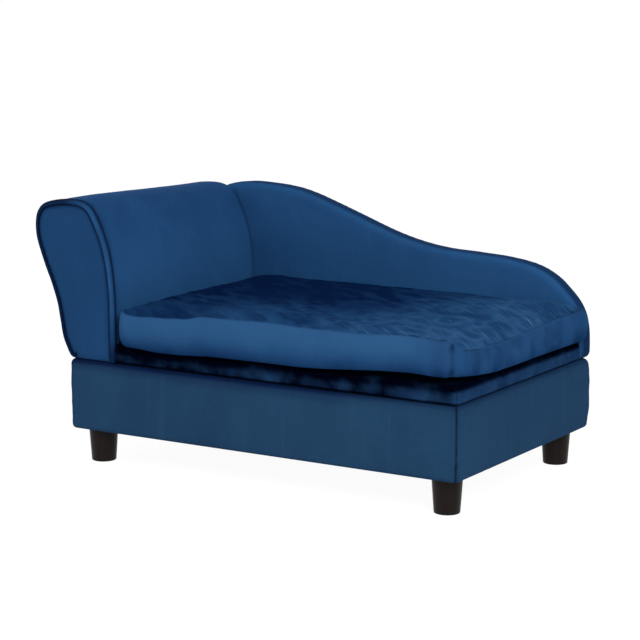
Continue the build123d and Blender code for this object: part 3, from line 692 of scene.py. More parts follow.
def makeDeckVelvet():
    values = deckVelvet
    low, high = deckLow, deckHigh
    piece = addBlock("deck_velvet", low, high)
    rim, corner, fold = values["rim"], values["corner"], values["fold"]
    edge = 0.00001
    bevelEdges(piece, lambda a, b: abs(a.z - b.z) > 0.01 and a.x > high.x - edge
               and a.y < low.y + edge, values["cornerRadius"], 10)
    cutAt(piece, 0, high.x - fold)
    cutAt(piece, 1, low.y + fold)
    deleteFaces(piece, lambda c, n: (n.z < -0.9 and c.x < high.x - fold and c.y > low.y + fold)
                or n.x < -0.9 or n.y > 0.9)

    def onRim(a, b):
        # along the right or front side or round the corner, not across the rim
        if any(point.x <= high.x - rim and point.y >= low.y + rim for point in (a, b)):
            return False
        acrossRight = a.x > high.x - rim and abs(a.y - b.y) < edge and a.y > low.y + corner
        acrossFront = a.y < low.y + rim and abs(a.x - b.x) < edge and a.x < high.x - corner
        return not acrossRight and not acrossFront
    bevelEdges(piece, lambda a, b: min(a.z, b.z) > high.z - edge and onRim(a, b),
               values["topRadius"], 5)
    bevelEdges(piece, lambda a, b: max(a.z, b.z) < low.z + edge and onRim(a, b),
               values["hemRadius"], 4)
    gridCuts(piece, values["step"], 0, 1, 2)
    tidyNormals(piece)

    def seamReach(place):
        if place.x < high.x - rim or place.y > low.y + rim:
            return 1
        return abs((high.x - place.x) - (place.y - low.y)) * seamSlant

    def puffOut(place, normal):
        height = (place.z - low.z) / (high.z - low.z)
        if normal.z < -0.5 or height < 0.08:
            return place
        swell = values["puff"] * arch(height) ** 0.7
        wrinkle = values["wrinkle"] * (ripples(place, (1, 38, 2), (0.5, 90, 7))
                                       + 0.8 * folds(place, 22, 4) - 0.5)
        if normal.z > 0.7:  # the cushion lies on it
            swell, wrinkle = values["topRoom"], min(wrinkle, values["topRoom"])
        calm = ease(min(place.x - low.x, high.y - place.y), 0, values["endCalm"])
        groove = values["seamDepth"] * bell(seamReach(place), values["seamWidth"])
        return place + normal * ((swell + wrinkle) * calm - groove)
    movePoints(piece, puffOut)
    paintPoints(piece, "seam", lambda place: bell(seamReach(place), 0.0011)
                * (0.4 + 0.3 * rough((0, 0, place.z), 160)))

    def cushionShadow(place):
        # painted shadow under the cushion's overhang, round the cushion's foot and least along
        # the lower edge at the right, with uneven tone of the pile and painted shade along the
        # foot
        fromRight = high.x - place.x
        side = ease(place.x, high.x - 0.012, high.x - 0.002)
        least, middle, left = values["cushionShadowFront"]
        front = (1 - side) * (least + middle * ease(fromRight, 0.05, 0.30)
                              + left * ease(fromRight, 0.40, 0.58))
        top = ease(place.z, low.z + 0.014 + 0.002 * side, high.z - 0.005)
        inner = ease(min(place.y - low.y, fromRight), 0.009, values["cushionShadowReach"])
        uneven = (0.50 - 0.28 * side) * (1 - 0.45 * top) * (1 - 0.4 * inner)
        share = min(values["cushionShadow"] + front + values["cushionShadowTop"] * top, 1)
        share *= 1 - values["innerFade"] * inner
        share += uneven * ripples(place, *values["uneven"])
        return min(1, max(0, share) + 0.7 * ease(low.z + 0.0045 - place.z, 0, 0.004))
    paintPoints(piece, "shade", cushionShadow)
    addSkin(piece, values["skin"])
    dress(piece, "deckVelvet", "lid", "deck_cover", smooth=60)


makeDeckVelvet()


lidHems = {
    "thickness": 0.0014, "step": 0.008, "wrinkle": 0.0003, "gap": 0.0004, "lift": 0.0016,
    "rear": (-0.3120, 0.1885, 0.3640, 0.2168), "front": (-0.2948, -0.2050, -0.2296, -0.1880),
}


def makeLidHems():
    # the back's and the arm panel's cloth is turned under the deck board and stapled there
    linerLow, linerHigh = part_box("deck_liner")
    gap, step = lidHems["gap"], lidHems["step"]
    for name in ("rear", "front"):
        left, front, right, rear = lidHems[name]
        long, wide = right - left, rear - front

        def place(along, across):
            x = left + along * long
            wrinkle = lidHems["wrinkle"] * rough((x, across * wide, 0), 70, 3)
            return Vector((x, front + across * wide, seamZ + lidHems["lift"] + min(wrinkle, 0)))
        piece = addSheet(name + "_hem", round(long / step), max(3, round(wide / step)), place)
        area = long * wide
        if name == "rear":
            cutAt(piece, 0, linerLow.x - gap, linerHigh.x + gap)
            cutAt(piece, 1, linerHigh.y + gap)
            deleteFaces(piece, lambda c, n: linerLow.x - gap < c.x < linerHigh.x + gap
                        and c.y < linerHigh.y + gap)
            area -= (linerHigh.x - linerLow.x + 2 * gap) * (linerHigh.y + gap - front)
        addSkin(piece, lidHems["thickness"])
        dress(piece, "velvet", "lid", smooth=60)


makeLidHems()
print("seat deck covered")


# arm

# across is a share of the arm's width with its lean, up is a share of its rise
armShares = [
    (0.492, 0.000), (0.439, 0.007), (0.407, 0.029), (0.379, 0.062),
    (0.331, 0.129), (0.298, 0.233), (0.262, 0.343), (0.197, 0.457),
    (0.118, 0.565), (0.046, 0.677), (0.007, 0.756), (0.000, 0.836),
    (0.023, 0.904), (0.098, 0.958), (0.256, 0.988), (0.446, 1.000),
    (0.597, 0.994), (0.721, 0.956), (0.839, 0.840), (0.928, 0.704),
    (0.977, 0.553), (1.000, 0.381), (1.000, 0.189), (1.000, 0.000),
]
# how wide the rolled border is at each of these points
borderShares = [
    0.50, 0.50, 0.50, 0.50, 0.48, 0.47, 0.46, 0.45, 0.45, 0.46, 0.48, 0.50,
    0.56, 0.62, 0.67, 0.70, 0.76, 0.82, 0.88, 0.88, 0.86, 0.84, 0.82, 0.80,
]
arm = {
    "left": -0.382, "width": 0.1525, "rise": 0.2504, "skin": 0.0015, "rearDrop": 0.0085,
    "frontTuck": 0.0012, "rearTuck": 0.009, "fold": 0.024, "wrapCells": (92, 190),
    "hollows": ((0.0010, 11, 6), (0.0004, 34, 8)), "pulled": 0.0008, "footRoom": 0.0004,
    "borderWidth": 0.0135, "borderDepth": 0.0057, "borderRipple": 0.00035,
    "borderRound": 0.72, "borderSteps": 12, "panelRecess": 0.0025, "panelPuff": 0.0013,
    "panelEdge": 0.0014, "panelStep": 0.005, "rearInset": 0.0068, "rearEdge": 0.0006,
    "rearStep": 0.008, "foamOuter": 0.0064, "foamInner": 0.0163, "foamRings": 22,
    "points": {"wrap": 170, "border": 220, "panel": 200, "rear": 160, "foam": 130},
}
armPoints = [(arm["left"] + across * arm["width"], seamZ + up * arm["rise"])
             for across, up in armShares]


def lowerRear(place):
    # the arm's top falls a little towards the rear
    height = max((place.z - seamZ) / arm["rise"], 0)
    along = ease((place.y - armLow.y) / (armHigh.y - armLow.y), 0.05, 1)
    return place - Vector((0, 0, arm["rearDrop"] * along * height ** 2))


def borderWidth(spot):
    k = min(int(spot), len(borderShares) - 2)
    share = borderShares[k] + (borderShares[k + 1] - borderShares[k]) * (spot - k)
    return arm["borderWidth"] * share


def armLine(name, foot, inset=None):
    # the arm's outline above the foot's height, drawn in by the inset or by the border
    line, spots = smoothLine(armPoints, arm["points"][name])
    insets = [inset or borderWidth(spot) + 0.0003 for spot in spots]
    return [point for point in drawIn(line, insets) if point.z > foot]


def closeLoop(line, foot, steps=14):
    # down to the foot's height at both ends and across
    start = Vector((line[0].x, 0, foot))
    end = Vector((line[-1].x, 0, foot))
    return line + [end.lerp(start, k / steps) for k in range(steps + 1)]


def makeArmWrap():
    line = smoothLine(armPoints, arm["points"]["wrap"])[0]
    # the cloth turns under the lid at the left and ends on the deck at the right
    line = [point for point in line
            if not (point.x > armLow.x + 0.14 and point.z < boardHigh.z + 0.0012)]
    foldEnd = Vector((baseLow.x + arm["fold"], 0, seamZ))
    line = [foldEnd, Vector(((foldEnd.x + line[0].x) / 2, 0, seamZ))] + line
    turns = inwardTurns(line)
    yFront, yRear = armLow.y - 0.0004, backLow.y - 0.0005

    def place(along, around):
        spot = around * (len(line) - 1)
        k = min(int(spot), len(line) - 2)
        point = line[k].lerp(line[k + 1], spot - k)
        inward = turns[k].lerp(turns[k + 1], spot - k)
        point.y = yFront + along * (yRear - yFront)
        height = (point.z - seamZ) / arm["rise"]
        fromFront = point.y - yFront
        tuck = arm["frontTuck"] * bell(fromFront, 0.0025)
        tuck += arm["rearTuck"] * (1 - ease(yRear - point.y, -0.012, 0.014))
        # soft hollows in the wadding, pulled in along the sewn front edge
        uneven = sum(amount * (0.5 + 0.5 * rough(point, scale, seed))
                     for amount, scale, seed in arm["hollows"])
        stretched = (point.x * 0.6, point.y * 2.2, point.z * 0.6)
        uneven += arm["pulled"] * folds(stretched, 13, 9) * bell(fromFront, 0.03)
        return lowerRear(point) + inward * (tuck * ease(height, 0.01, 0.10)
                                            + uneven * ease(height, 0.02, 0.12))
    piece = addSheet("arm_velvet", *arm["wrapCells"], place)
    tidyNormals(piece)
    # the wrap's front must face out, away from the arm's middle
    if max(piece.data.polygons, key=lambda face: face.center.z).normal.z < 0:
        editAll(piece)
        bpy.ops.mesh.flip_normals()
        setMode("OBJECT")
    paintPoints(piece, "seam", lambda spot: 0.7 * bell(spot.y - yFront, 0.0012))
    # painted shade beside the rolled border and where the arm meets the back, and painted light
    # low on the inner side
    paintPoints(piece, "shade", lambda spot: max(0.65 * bell(spot.y - yFront, 0.007),
                                                 0.9 * bell(yRear - spot.y, 0.007)))
    paintPoints(piece, "glow", lambda spot: 0.22 * ease(spot.x, armLow.x + 0.10, armLow.x + 0.135)
                * ease(armHigh.z - spot.z, 0.03, 0.12))
    addSkin(piece, arm["skin"])
    dress(piece, "velvet", "lid", "arm_cover")


def makeArmBorder():
    line, spots = smoothLine(armPoints, arm["points"]["border"])
    yFront, yRear = borderLow.y, borderHigh.y
    steps = arm["borderSteps"]
    turns = [math.pi * i / steps for i in range(steps + 1)]
    section = [((1 - math.cos(turn)) / 2, math.sin(turn) ** arm["borderRound"]) for turn in turns]
    section += [(0.75, 0), (0.5, 0), (0.25, 0)]
    rings = []
    for point, spot, inward in zip(line, spots, inwardTurns(line)):
        length = point.z * 3 + point.x
        depth = arm["borderDepth"] * (0.96 + 0.04 * rough((length, 0, 0), 40, 2))
        ring = []
        for across, forward in section:
            ripple = arm["borderRipple"] * rough((point.x, forward * 0.01, point.z), 95, 4)
            place = point + inward * (across * borderWidth(spot) + 0.0002)
            y = max(yRear - (depth + ripple) * forward, yFront)
            ring.append(Vector((place.x, y, max(place.z, seamZ))))
        rings.append(ring)
    piece = addRings("arm_border_roll", rings)
    middle = (borderLow.x + borderHigh.x) / 2

    def rightward(place):
        return ease(place.x, middle - 0.02, middle + 0.03)
    # painted highlight along the roll's crest, most at the right, and painted shade on its left
    # part, at its root and low at the right
    paintPoints(piece, "glow", lambda place: (0.10 + 0.55 * rightward(place))
                * bell(yRear - 0.0054 - place.y, 0.0009)
                * ease(place.z, seamZ + 0.02, seamZ + 0.09) * (0.7 + 0.5 * rough(place, 50, 3)))
    paintPoints(piece, "shade", lambda place: min(
        1, 0.85 - 0.65 * rightward(place) + 0.8 * ease(place.y, yRear - 0.0042, yRear - 0.0008)
        + 0.6 * rightward(place) * ease(seamZ + 0.05 - place.z, 0, 0.05)))
    dress(piece, "borderVelvet", "lid", "arm_border")


def makeArmPanel():
    loop = closeLoop(armLine("panel", seamZ + 0.003), seamZ + arm["footRoom"])
    piece = addPlate("arm_front_velvet", loop, borderLow.y + arm["panelRecess"], borderHigh.y,
                     arm["panelEdge"], arm["panelStep"], arm["panelPuff"])
    # painted shade along the panel's edge, inside the border
    paintPoints(piece, "shade", lambda place: bell(edgeReach(loop, place), 0.0035)
                * (0.85 if place.z > seamZ + 0.004 else 0.5))
    dress(piece, "panelVelvet", "lid", "arm_front_panel")


def makeArmRear():
    # black cloth over wadding closes the arm behind
    low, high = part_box("arm_rear_panel")
    line = armLine("rear", boardHigh.z + 0.004, arm["rearInset"])
    loop = closeLoop(line, boardHigh.z + arm["footRoom"])
    piece = addPlate("arm_rear_cloth", loop, low.y, high.y - 0.0008,
                     arm["rearEdge"], arm["rearStep"])
    movePoints(piece, lambda place, normal: lowerRear(place))
    dress(piece, "lining", "lid", "arm_rear_panel")


def makeArmFoam():
    low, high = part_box("arm_padding")
    foot = boardHigh.z + 0.0006
    outer = armLine("foam", foot, arm["foamOuter"])
    inner = armLine("foam", foot, arm["foamInner"])
    rings, last = [], arm["foamRings"] - 1
    for k in range(last + 1):
        y = low.y + (high.y - low.y) * k / last
        rings.append([lowerRear(Vector((point.x, y, point.z))) for point in outer]
                     + [Vector((point.x, y, point.z)) for point in reversed(inner)])
    piece = addRings("arm_foam", rings)
    dress(piece, "foam", "lid", "arm_padding")


makeArmWrap()
makeArmBorder()
makeArmPanel()
makeArmRear()
makeArmFoam()
print("arm covered")


# back

# across is a share of the base length, up is a share of the back's rise
backShares = [
    (0.0087, 0.000), (0.0007, 0.010), (-0.0022, 0.035), (-0.0022, 0.343),
    (-0.0022, 0.672), (0.0007, 0.829), (0.0217, 0.948), (0.0928, 0.999),
    (0.1652, 0.998), (0.2333, 0.979), (0.2833, 0.946), (0.3348, 0.899),
    (0.3913, 0.843), (0.4464, 0.786), (0.5000, 0.734), (0.5536, 0.691),
    (0.6087, 0.660), (0.6623, 0.642), (0.7254, 0.634), (0.8043, 0.621),
    (0.8806, 0.582), (0.9275, 0.520), (0.9565, 0.452), (0.9826, 0.374),
    (0.9977, 0.300), (1.0051, 0.220), (1.0080, 0.121), (1.0065, 0.035),
    (1.0022, 0.010), (0.9942, 0.000),
]
back = {
    "left": -0.319, "width": 0.690, "rise": 0.243, "voxel": 0.0036, "skin": 0.0014,
    "rounding": 0.010, "puff": 0.0016, "ripple": 0.0004, "topRipple": 0.0006,
    "points": 380, "footPoints": 120, "foamPoints": 260, "rearLine": 0.0045,
    "rearSeam": 0.5, "rimShade": 0.62, "cornerShade": 0.80, "glow": (0.16, 0.10),
}
backPoints = [(back["left"] + across * back["width"], seamZ + up * back["rise"])
              for across, up in backShares]


def makeBackVelvet():
    line = smoothLine(backPoints, back["points"])[0]
    count = back["footPoints"]
    line += [line[-1].lerp(line[0], k / count) for k in range(1, count)]
    turns = inwardTurns(line, closed=True)
    yFront, yRear = backLow.y, backHigh.y
    profile = roundOver(back["rounding"], yFront, -1) + roundOver(back["rounding"], yRear, 1)[::-1]
    rings = []
    for inset, y in profile:
        ring = []
        for point, inward in zip(line, turns):
            side = ease(point.z, seamZ + 0.002, seamZ + 0.03)  # square at the foot
            spot = point + inward * inset * (0.35 + 0.65 * side)
            ring.append(Vector((spot.x, y, max(spot.z, seamZ))))
        rings.append(ring)
    piece = addRings("back_velvet", rings)
    applyModifier(piece, "REMESH", mode="VOXEL", voxel_size=back["voxel"])
    applyModifier(piece, "SMOOTH", factor=0.5, iterations=4)

    def shape(place, normal):
        flatRear = ease(place.y, yRear - 0.0018, yRear - 0.0007)
        place.y += flatRear * (yRear - 0.0002 - place.y)
        if flatRear > 0.5:
            return place
        if normal.y < -0.3:
            clear = (ease(place.z, seamZ + 0.02, seamZ + 0.07)
                     * ease(place.x, borderHigh.x - 0.005, borderHigh.x + 0.03))
            swell = back["puff"] * clear * (0.4 + 0.6 * rough(place, 6, 3))
            swell += back["ripple"] * rough(place, 26, 5)
            place.y = max(place.y + swell * normal.y, yFront - 0.0008)
        elif normal.z > 0.2:
            place += normal * back["topRipple"] * rough(place, 14, 9)
        place.z = max(place.z, seamZ)
        return place
    movePoints(piece, shape)
    deleteFaces(piece, lambda c, n: boardLow.x + 0.001 < c.x < boardHigh.x - 0.001
                and c.y < boardHigh.y and c.z < boardHigh.z + 0.0012)
    tidyNormals(piece)
    addSkin(piece, back["skin"])
    paintPoints(piece, "seam", lambda place: back["rearSeam"] * (place.z > seamZ + 0.02)
                * bell(place.y - yRear + back["rearLine"], 0.0014))
    right = back["left"] + back["width"]

    def rimAndCornerShade(place):
        # painted shade along the rounded rim and low at the right end beside the cushion
        rim = back["rimShade"] * ease(place.y, yFront + 0.0025, yFront + 0.011)
        beside = back["cornerShade"] * ease(place.x, right - 0.030, right - 0.008)
        return max(rim, beside * ease(seamZ + 0.075 - place.z, 0, 0.03))
    paintPoints(piece, "shade", rimAndCornerShade)
    # painted light on the front face, more to the right
    least, more = back["glow"]
    paintPoints(piece, "glow", lambda place: (least + more * ease(place.x, -0.05, 0.30))
                * (1 - ease(place.y, yFront + 0.002, yFront + 0.008)))
    dress(piece, "velvet", "lid", "back_cover", smooth=60)


makeBackVelvet()
print("back covered")


# loose cushion

cushion = {
    "left": -0.2215, "right": 0.382, "front": -0.23165, "rear": 0.18735,
    "bottom": 0.1960, "seam": 0.2539, "frontLeft": 0.024, "frontRight": 0.030,
    "rearCorner": 0.009, "voxel": 0.0055, "sideRoom": 0.0010, "topRoom": 0.0035,
    "core": 0.0085, "pullIn": 0.0012, "cap": 0.006, "pressure": 4.0, "frames": 20,
    "bulge": 0.0105, "taper": 1.3, "rumple": 0.0016, "fold": 0.0013, "wrinkle": 0.0006,
    "slantFold": 0.0010, "pucker": 0.0011, "sideRipples": ((0.0008, 14, 8), (0.0004, 40, 3)),
    "crease": 0.0022, "edgeLine": 0.0008, "wander": 0.0030, "zipReach": 0.2035,
    "zipGroove": 0.0042, "outlinePoints": 260, "cornerSteps": 24, "coreStep": 0.02,
    "coreRipple": 0.0004,
    # how much painted shade and painted light, and how uneven the pile's tone, from 0 to 1
    "topDusk": 0.67, "awayDusk": 0.38, "rightLight": 0.60, "nearLight": 0.32,
    "footDusk": (0.20, 0.22), "cornerDusk": 0.55, "brushed": (0.34, 0.15),
    "mottle": (0.26, 0.26), "shine": (0.72, 0.25), "bright": (0.70, 0.20),
    # tables in mm: a place along the side, and how far the border is moved there
    "frontRise": [(-221, -1), (-170, -4.5), (-130, -4), (-95, -2), (-52, 4.5), (50, 7),
                  (120, 5), (200, 5), (270, 9.5), (340, 12), (382, 13)],
    "rightRise": [(-232, 13), (-222, 11), (-212, 3), (-196, -7), (-158, -13), (-70, -14),
                  (-10, -12), (40, -10), (115, -5), (170, -1), (188, 0)],
    "frontDroop": [(-221, 0), (-205, 4), (-183, 6), (-139, 8), (-100, 7), (-70, 5), (-45, 2),
                   (60, 1), (300, 1), (340, 5.5), (382, 4)],
    "rightDroop": [(-232, 4), (-158, 6.5), (-93, 7), (-28, 9), (37, 7.5), (102, 6.5),
                   (150, 5), (180, 0)],
    "frontLift": [(100, 0), (300, 11), (345, 12), (382, 9)],
}
cloth = {
    "use_pressure": True, "uniform_pressure_force": cushion["pressure"], "quality": 5,
    "mass": 0.3, "tension_stiffness": 12, "compression_stiffness": 12, "bending_stiffness": 0.6,
}


def cushionOutline(inset):
    # a rounded outline of four sides in plan, clockwise from the rear right corner
    left, right = cushion["left"] + inset, cushion["right"] - inset
    front, rear = cushion["front"] + inset, cushion["rear"] - inset
    dense = []
    for x, y, turn, corner, sideX, sideY in (
            (right, rear, 90, "rearCorner", -1, -1), (right, front, 0, "frontRight", -1, 1),
            (left, front, -90, "frontLeft", 1, 1), (left, rear, -180, "rearCorner", 1, -1)):
        radius = max(cushion[corner] - inset * 0.3, 0.006)
        for k in range(cushion["cornerSteps"] + 1):
            angle = math.radians(turn - 90 * k / cushion["cornerSteps"])
            dense.append((Vector((x + radius * (sideX + math.cos(angle)),
                                  y + radius * (sideY + math.sin(angle)), 0)), 0))
    count = cushion["outlinePoints"]
    return evenSteps(dense + dense[:1], count, count)[0]


def cushionRings(shrink, lower):
    bottom, seam = cushion["bottom"] + lower, cushion["seam"] - lower
    profile = [
        (0.15, bottom), (0.09, bottom), (0.045, bottom), (0.015, bottom),
        (0.005, bottom + 0.0004), (0.002, bottom + 0.0035), (0.0008, bottom + 0.009),
        (0.0002, bottom + 0.017), (0, (bottom + seam) / 2), (0.0002, seam - 0.014),
        (0.0008, seam - 0.007), (0.0022, seam - 0.002), (0.0055, seam + 0.0012),
        (0.0125, seam + 0.003), (0.036, seam + 0.0055), (0.081, seam + 0.0075),
        (0.146, seam + 0.0088),
    ]
    return [[Vector((p.x, p.y, z)) for p in cushionOutline(inset + shrink)]
            for inset, z in profile]


def slump(place):
    # the right end sags, the front border stands up beside it, the front right
    # corner curls off the deck and the border's foot hangs over the deck's edge
    height = (place.z - cushion["bottom"]) / (cushion["seam"] - cushion["bottom"])
    height = min(max(height, 0), 1)
    nearRight = 1 - ease(cushion["right"] - place.x, 0.010, 0.150)
    nearFront = 1 - ease(place.y - cushion["front"], 0.010, 0.110)
    rise = nearRight * follow(cushion["rightRise"], place.y)
    rise += (1 - nearRight) * nearFront * follow(cushion["frontRise"], place.x)
    lift = follow(cushion["frontLift"], place.x) * ease(-place.y, 0.10, 0.225)
    overFront = ease(-place.y, -deckLow.y + 0.0030, -deckLow.y + 0.0150)
    overRight = ease(place.x, deckHigh.x + 0.0025, cushion["right"] - 0.0005)
    droop = max(overFront * follow(cushion["frontDroop"], place.x),
                overRight * follow(cushion["rightDroop"], place.y))
    bulge = (cushion["bulge"] * ease(place.y, 0.02, 0.17) * ease(place.x, 0.33, 0.38)
             * arch(height) ** 0.4)
    low, high = (1 - height) ** cushion["taper"], height ** cushion["taper"]
    return Vector((bulge, 0, (lift - droop) * low + rise * high))


def inflate(piece, rest):
    # the filling pushes the cover out, each point no further than the cap, and
    # the border may pull in only a little between its corners
    focus(piece)
    normals = [point.normal.copy() for point in piece.data.vertices]
    bpy.ops.object.modifier_add(type="CLOTH")
    modifier = piece.modifiers[-1]
    for key, value in cloth.items():
        setattr(modifier.settings, key, value)
    modifier.settings.effector_weights.gravity = 0
    modifier.point_cache.frame_start = 1
    modifier.point_cache.frame_end = cushion["frames"]
    for step in range(1, cushion["frames"] + 1):
        bpy.context.scene.frame_set(step)
    filled = piece.evaluated_get(bpy.context.evaluated_depsgraph_get())
    places = [point.co.copy() for point in filled.to_mesh().vertices]
    filled.to_mesh_clear()
    bpy.ops.object.modifier_remove(modifier=modifier.name)
    bpy.context.scene.frame_set(1)
    for point, start, end, normal in zip(piece.data.vertices, rest, places, normals):
        move = end - start
        move += normal * max(-move.dot(normal) - cushion["pullIn"], 0)
        if move.length > cushion["cap"]:
            move *= cushion["cap"] / move.length
        point.co = start + move
    piece.data.update()


def shapeCushion(piece):
    values = cushion
    left, right, front, rear, bottom, seam = (
        values[key] for key in ("left", "right", "front", "rear", "bottom", "seam"))
    rest = [Vector(item.vector) for item in piece.data.attributes["rest"].data]
    masks = {"seam": [], "shade": [], "glow": [], "stroked": []}
    cos, sin = math.cos(strokeTurn), math.sin(strokeTurn)
    spots = iter(rest)

    def shape(place, normal):
        start = next(spots)
        height = min(max((place.z - bottom) / (seam - bottom), 0), 1)
        onTop = ease(normal.z, 0.25, 0.75)
        onSide = 1 - ease(abs(normal.z), 0.35, 0.8)
        rightward = ease(place.x, 0.10, 0.36)
        place += slump(place)
        # rumpled top, with small puckers along the sewn edge of the right end
        slanted = (start.x * 0.55, start.y * 1.3 + start.x * 0.4, start.z)
        crumple = values["rumple"] * rough(start, 10, 4)
        crumple += values["fold"] * folds(start, 9, 6) * ease(place.x, 0.02, 0.3)
        crumple += values["wrinkle"] * rough((start.x * 0.5, start.y * 1.6, start.z), 46, 2)
        crumple += values["slantFold"] * folds(slanted, 24, 12)
        crumple += (values["pucker"] * rough((start.x * 12, start.y * 70, 0), 1, 14)
                    * bell(max(right - start.x, 0) - 0.010, 0.012))
        place += normal * (crumple * onTop + ripples(start, *values["sideRipples"]) * onSide)
        # sewn line round the front right corner, and along the top and the foot
        wander = values["wander"] * rough((0, 0, start.z), 60, 5)
        crease = 0
        if start.x > right - 0.04 and start.y < front + 0.04:
            crease = onSide * bell(start.x - right + start.y - front + 0.002 + wander, 0.0045)
            crease *= 0.35 + 0.65 * ease(abs(start.z - 0.5 * (bottom + seam)), 0.004, 0.020)
        edges = bell(start.z - seam + 0.0035, 0.0022) + bell(start.z - bottom - 0.006, 0.0022)
        edges *= 1 - ease(abs(normal.z), 0.8, 0.97)
        place -= normal * (values["crease"] * crease + values["edgeLine"] * edges)
        # zip groove in the rear border
        if place.y > rear - 0.012 and abs(place.x - (left + right) / 2) < values["zipReach"]:
            depth = bell(max(abs(place.z - (bottom + seam) / 2) - 0.0075, 0), 0.002)
            place.y = min(place.y, rear - values["zipGroove"] * depth)
        if place.y >= deckLow.y - 0.0030 and place.x <= deckHigh.x + 0.0025:
            place.z = max(place.z, bottom)  # it lies on the deck
        place.x = min(max(place.x, left - 0.004), right + 0.012)
        place.y = max(min(place.y, rear - 0.0002), front - 0.002)

        above = ease(start.z, seam - 0.0070, seam - 0.0042)
        piped = bell(start.z - seam + 0.0052, 0.0013) * (1 - ease(abs(normal.z), 0.85, 0.98))
        piped *= (0.25 + 0.60 * rightward) * (0.7 + 0.5 * rough(start, 60, 5))
        masks["stroked"].append(above * (0.25 + 0.75 * rightward))
        # the crease at the front right corner is darkened with painted shade; the sewn top edge is
        # a dark line
        masks["seam"].append(max(0.75 * crease, piped))
        # painted shade on the top, most to the rear left, at the border's foot and at the front
        # right corner; lighter to the right and near the front
        away = ease(start.y, -0.20, -0.02) * (1 - ease(start.x, 0.02, 0.30))
        leftward = 1 - ease(place.x, -0.05, 0.22)
        nearer = ease(-start.y, 0.02, 0.17) * ease(start.x, -0.12, 0.02)
        dusk = above * (values["topDusk"] + values["awayDusk"] * away
                        - values["rightLight"] * rightward
                        - values["nearLight"] * nearer * (1 - rightward))
        least, more = values["footDusk"]
        dusk += (least + more * leftward) * (1 - above) * (1 - ease(height, 0.05, 0.45))
        corner = bell(math.hypot(start.x - right + 0.022, start.y - front), 0.016) * (1 - above)
        dusk += values["cornerDusk"] * corner * (0.6 + 0.6 * rough(start, 45, 4))
        # the border is brushed unevenly, most of all at the right
        brushed = rough((start.x * 0.5, start.y * 1.2, start.z * 0.8), 26, 41)
        brushed += 0.5 * rough(start, 70, 43)
        toRight, toFront = values["brushed"]
        facing = max(toRight * ease(normal.x, 0.5, 0.9), toFront * ease(-normal.y, 0.5, 0.9))
        dusk += facing * (1 - above) * ease(brushed, -0.1, 0.5)
        # blotches along the way the top was stroked
        along, across = start.x * cos + start.y * sin, start.y * cos - start.x * sin
        blotch = rough((along * 0.55, across * 1.5, 0), 26, 21)
        blotch += 0.5 * rough((along * 0.5, across * 1.6, 0), 62, 8)
        least, more = values["mottle"]
        mottled = least + more * ease(rough(start, 7, 13), -0.25, 0.30)
        mottled *= (ease(blotch, -0.45, 0.45) - 0.5) * above * (1 - 0.45 * rightward)
        masks["shade"].append(min(max(dusk + mottled, 0), 1))
        # painted light: the front border lighter above its foot, less at the right, and painted
        # highlights on the top's ridges to the right and near the front
        most, less = values["shine"]
        shine = (1 - above) * ease(height, 0.15, 0.70) * (most - less * ease(place.x, 0.28, 0.37))
        shine *= 0.8 * (1 - 0.6 * ease(normal.x, 0.5, 0.9))
        atRight, atFront = values["bright"]
        bright = above * (atRight * rightward + atFront * nearer) * folds(start, 30, 5)
        masks["glow"].append(min(max(shine + bright, 0), 1))
        return place
    movePoints(piece, shape)
    for name, shares in masks.items():
        paintPoints(piece, name, shares)


def makeCushion():
    piece = addRings("cushion_velvet", cushionRings(cushion["sideRoom"], cushion["topRoom"]))
    applyModifier(piece, "REMESH", mode="VOXEL", voxel_size=cushion["voxel"])
    rest = [point.co.copy() for point in piece.data.vertices]
    inflate(piece, rest)
    layer = piece.data.attributes.new(name="rest", type="FLOAT_VECTOR", domain="POINT")
    layer.data.foreach_set("vector", [value for place in rest for value in place])
    applyModifier(piece, "SUBSURF", levels=1, render_levels=1)
    applyModifier(piece, "SMOOTH", factor=0.5, iterations=2)
    shapeCushion(piece)
    piece.data.attributes.remove(piece.data.attributes["rest"])
    dress(piece, "cushionVelvet", "cushion", "cushion_cover", smooth=80)


def makeCushionFoam():
    piece = addRings("cushion_core", cushionRings(cushion["core"], cushion["core"]))
    gridCuts(piece, cushion["coreStep"], 0, 1)
    movePoints(piece, lambda place, normal: place + slump(place)
               + normal * cushion["coreRipple"] * rough(place, 30, 3))
    dress(piece, "foam", "cushion", "cushion_foam", smooth=40)


makeCushion()
makeCushionFoam()
print("cushion filled")


# linings and fillings

soft = {
    "bagFold": 0.0035, "step": 0.012, "skin": 0.0006, "wrinkle": 0.0005, "sag": 0.0009,
    "boltHole": 0.0095, "clothCells": (128, 77), "staple": (0.010, 0.0007, 0.0004),
    "stapleEdge": 0.00018, "staplePitch": 0.058, "stapleInset": 0.006,
    "foamEdge": 0.004, "foamPit": 0.0004, "foamStep": 0.014, "backInset": 0.0085,
    "backEdge": 0.0030, "backStep": 0.018,
}


def makeLiningBag():
    # black cloth bag in the storage box, calm where the stays fold
    low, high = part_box("storage_lining")
    piece = addBlock("lining_bag", low, high)
    deleteFaces(piece, lambda c, n: n.z > 0.9)
    bevelEdges(piece, lambda a, b: abs(a.z - b.z) > 0.05 or max(a.z, b.z) < low.z + 0.0001,
               soft["bagFold"], 3)
    gridCuts(piece, soft["step"], 0, 1, 2)
    tidyNormals(piece)

    def crumple(place, normal):
        fromSide = min(place.x - low.x, high.x - place.x)
        calm = ease(fromSide, 0.004, 0.03) if place.y > 0.03 else 1
        calm *= ease(high.z - place.z, 0.002, 0.02)
        loose = 0.5 + 0.5 * rough(place, 12, 4) + folds(place, 16, 7)
        return place - normal * soft["wrinkle"] * calm * loose
    movePoints(piece, crumple)
    addSkin(piece, soft["skin"])
    dress(piece, "lining", "base", "storage_lining")


